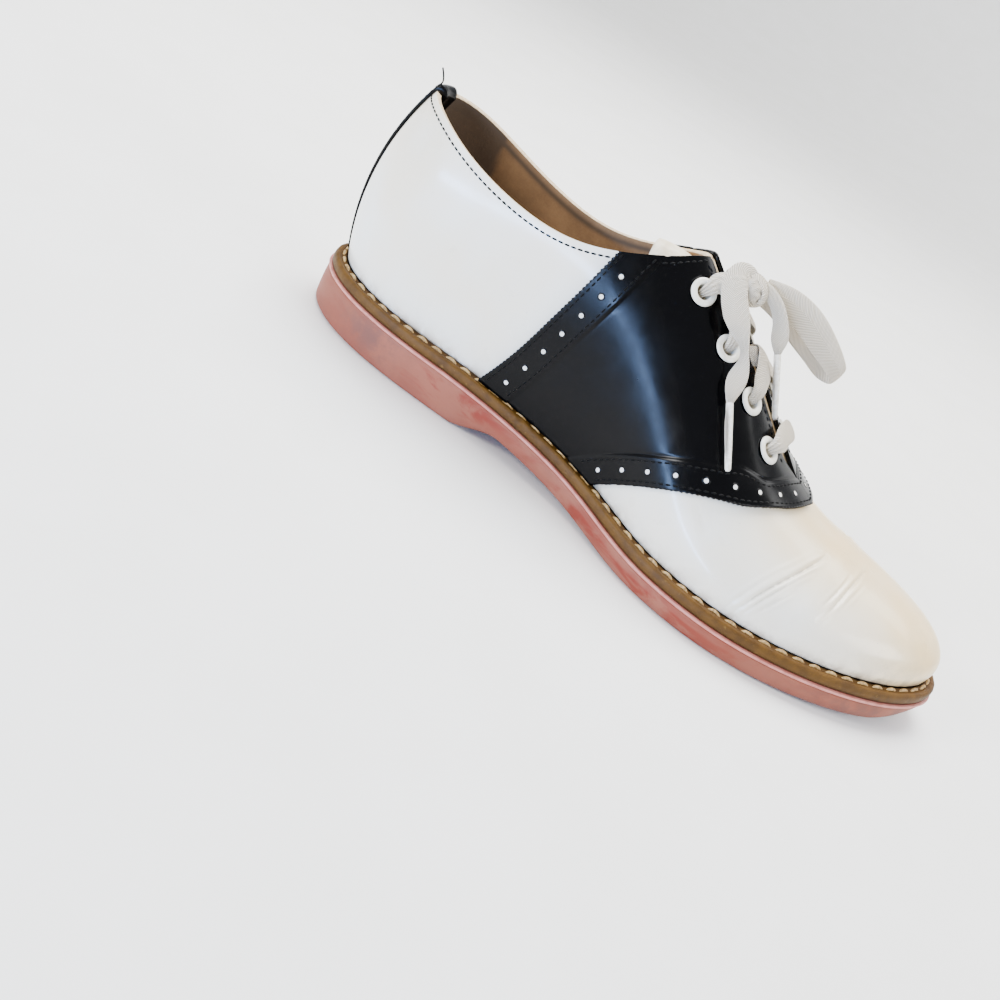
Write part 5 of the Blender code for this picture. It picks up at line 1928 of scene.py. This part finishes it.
        # The gathered lace inside the wrap, folded lengthwise
        angles = np.linspace(0.0, 2.0 * math.pi, 72, endpoint=False)
        long, round_ = np.meshgrid(np.linspace(-1.0, 1.0, 40), angles, indexing="ij")
        fat = np.sqrt(np.clip(1.0 - long**4, 0.0, 1.0)) * (1.0 + 0.07 * np.cos(9.0 * round_ + 2.0 * long))
        breadth, reach, depth = self.core
        core = centre + (0.0, 1.0, 0.0) * (long * reach)[..., None]
        core = core + slope * (fat * np.cos(round_) * breadth)[..., None]
        core = core + rise * (fat * np.sin(round_) * depth)[..., None]
        draft.grid(core, closed=True, uv=np.stack([round_ * 4.0, long * 7.2], axis=-1))
        dress(draft.make("knot_wrap", [self.finishes.lace]), "lace", "bow_knot")

    def roots(self) -> None:
        """Lead the lace from the two top eyelets up to the knot."""
        draft = Draft()
        for side in Side:
            leaving = np.array(Lacing(self.finishes).leaving[:6])
            across = side.value * (EYELET_REACH - leaving[:, 0])
            spine, facing = LAST.over_instep(EYELET_ROWS[0] + 0.15 * leaving[:, 0], across, leaving[:, 1])
            target = np.array(self.knot) + (0.0, side.value * 0.0045, ROUTE_STEP)
            last = spine[-1]
            rows = [(*p, w * self.width) for p, w in zip(spine, leaving[:, 2])]
            for share, width in ((0.35, 8.0), (0.7, 7.2), (1.0, 5.0)):
                bow = 0.0022 * math.sin(math.pi * share)
                rows.append((*(last + (target - last) * share + facing[-1] * bow), width * MM))
            table = smooth_route(rows, ROUTE_STEP)
            look = facing[0] * 0.8 + np.array(self.outward) * (0.3 if side is Side.LATERAL else 0.0)
            ribbon(draft, table[:, :3], look, table[:, 3], np.clip(1.3 - table[:, 3] / 0.0075, 0.15, 1.0))
        dress(draft.make("lace_top_bar", [self.finishes.lace]), "lace", "lace_bar_top")

    def build(self) -> None:
        """Tie the bow."""
        self.roots()
        self.wrap()
        for word, rows in (("lateral", self.end_lateral), ("medial", self.end_medial)):
            start, end = (np.array(row[:3]) for row in rows[-2:])
            tip = self.tip(f"tip_{word}", f"aglet_{word}", start, end)
            self.free_end(f"bow_{word}_end", f"bow_end_{word}", rows)
        table = smooth_route(self.loop_medial, ROUTE_STEP)
        route = table[:, :3]
        forward = unit(np.gradient(route, axis=0))
        # Both layers look at the onlooker, and the lace turns over about its own width at the tip
        side = unit(np.cross(forward[len(forward) // 4], self.outward))
        facing = np.cross(side + 0.0 * forward, forward)
        draft = Draft()
        ribbon(draft, route, facing, table[:, 3] * MM, np.clip(1.0 - table[:, 3] / 7.5, 0.0, 0.6))
        item = dress(draft.make("bow_medial_loop", [self.finishes.lace]), "lace", "bow_loop_medial")


@dataclass
class Studio:
    """Plain pale floor, soft light and the camera of the photo."""

    finishes: Finishes
    azimuth: float = 11.24
    height: float = 27.96
    roll: float = 32.8
    distance: float = 0.40407
    shift: tuple[float, float] = (0.05704, 0.03255)
    aim: float = 0.040
    lens: float = 39.6
    sensor: float = 36.0

    def build(self) -> None:
        """Set the floor, the lamps and the camera."""
        turn = np.linspace(0.0, 2.0 * math.pi, 96, endpoint=False)
        # The floor's profile: distance from the middle, and height
        sweep = (
            (0.01, 0.0), (0.6, 0.0), (1.8, 0.0), (2.2, 0.03), (2.6, 0.16), (2.9, 0.42), (3.05, 0.8),
            (3.1, 1.4),
        )
        draft = Draft()
        middle = np.array([LAST.length / 2.0, LAST.middle, 0.0])
        grid = [
            middle + np.stack([r * np.cos(turn), r * np.sin(turn), z + 0.0 * turn], axis=1) for r, z in sweep
        ]
        draft.grid(np.stack(grid), closed=True)
        draft.close([tuple(range(96))])
        draft.make("studio_floor", [self.finishes.floor])
        world = bpy.data.worlds.new("studio")
        world.use_nodes = True
        world.node_tree.nodes["Background"].inputs[0].default_value = linear("#eef1f6")
        world.node_tree.nodes["Background"].inputs[1].default_value = 0.85
        bpy.context.scene.world = world
        for name, place, size, power in (
            ("top_softbox", (-0.25, 0.35, 1.10), 0.8, 37.0),
            ("side_softbox", (-0.75, -0.85, 0.55), 0.35, 12.0),
            ("toe_softbox", (1.10, -0.15, 0.70), 0.5, 10.0),
        ):
            self.lamp(name, place, (size, size), power, "#ffffff", (0.0, 0.0, 0.04))
        # A low strip draws the long cool highlight along the saddle
        self.lamp("strip_light", (-0.35, -1.00, 0.13), (1.0, 0.04), 18.0, "#9cc2ff", (0.0, 0.0, 0.05))
        self.lamp("backdrop_light", (0.9, 1.7, 2.0), (1.6, 1.6), 60.0, "#ffffff", (0.9, 2.7, 0.0))
        self.camera()

    def lamp(
        self,
        name: str,
        place: Sequence[float],
        size: tuple[float, float],
        power: float,
        colour: str,
        aim: Sequence[float],
    ) -> None:
        """Hang a soft rectangular lamp.

        Args:
            name: The lamp's name.
            place: Where it hangs.
            size: Its width and height.
            power: Its power in watts.
            colour: Its light's colour in hex.
            aim: The point at which it looks.
        """
        data = bpy.data.lights.new(name, "AREA")
        data.shape = "RECTANGLE"
        data.size, data.size_y = size
        data.energy = power
        data.color = linear(colour)[:3]
        lamp = bpy.data.objects.new(name, data)
        lamp.location = place
        lamp.rotation_euler = (Vector(aim) - Vector(place)).to_track_quat("-Z", "Y").to_euler()
        bpy.context.scene.collection.objects.link(lamp)

    def camera(self) -> None:
        """Stand the camera where the photo was taken from, rolled as it was."""
        azimuth, height, roll = (math.radians(v) for v in (self.azimuth, self.height, self.roll))
        flat = math.cos(height)
        back = Vector((math.sin(azimuth) * flat, -math.cos(azimuth) * flat, math.sin(height)))
        right = Vector((math.cos(azimuth), math.sin(azimuth), 0.0))
        up = back.cross(right)
        tilted_right = math.cos(roll) * right + math.sin(roll) * up
        tilted_up = -math.sin(roll) * right + math.cos(roll) * up
        spot = Vector((0.0, -LAST.middle, self.aim)) - self.shift[0] * tilted_right
        spot = spot - self.shift[1] * tilted_up + self.distance * back
        data = bpy.data.cameras.new("photo_camera")
        data.lens = self.lens
        data.sensor_width = self.sensor
        data.clip_start = 0.01
        camera = bpy.data.objects.new("photo_camera", data)
        axes = Matrix((tilted_right, tilted_up, back)).transposed().to_4x4()
        camera.matrix_world = Matrix.Translation(spot) @ axes
        bpy.context.scene.collection.objects.link(camera)
        bpy.context.scene.camera = camera


def main() -> None:
    """Dress the shoe and set the studio."""
    logging.basicConfig(level=logging.INFO, format="%(message)s")
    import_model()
    finishes = Finishes()
    Studio(finishes).build()
    Bow(finishes).build()
    Lacing(finishes).build()
    sole = SoleUnit(finishes)
    sole.outsole()
    sole.insole()
    Welt(finishes).build()
    UpperShell(finishes).build()
    SaddlePanel(finishes).build()
    BackStrip(finishes).build()
    Tongue(finishes).build()
    EyeletSet(finishes).build()


if __name__ == "__main__":
    main()
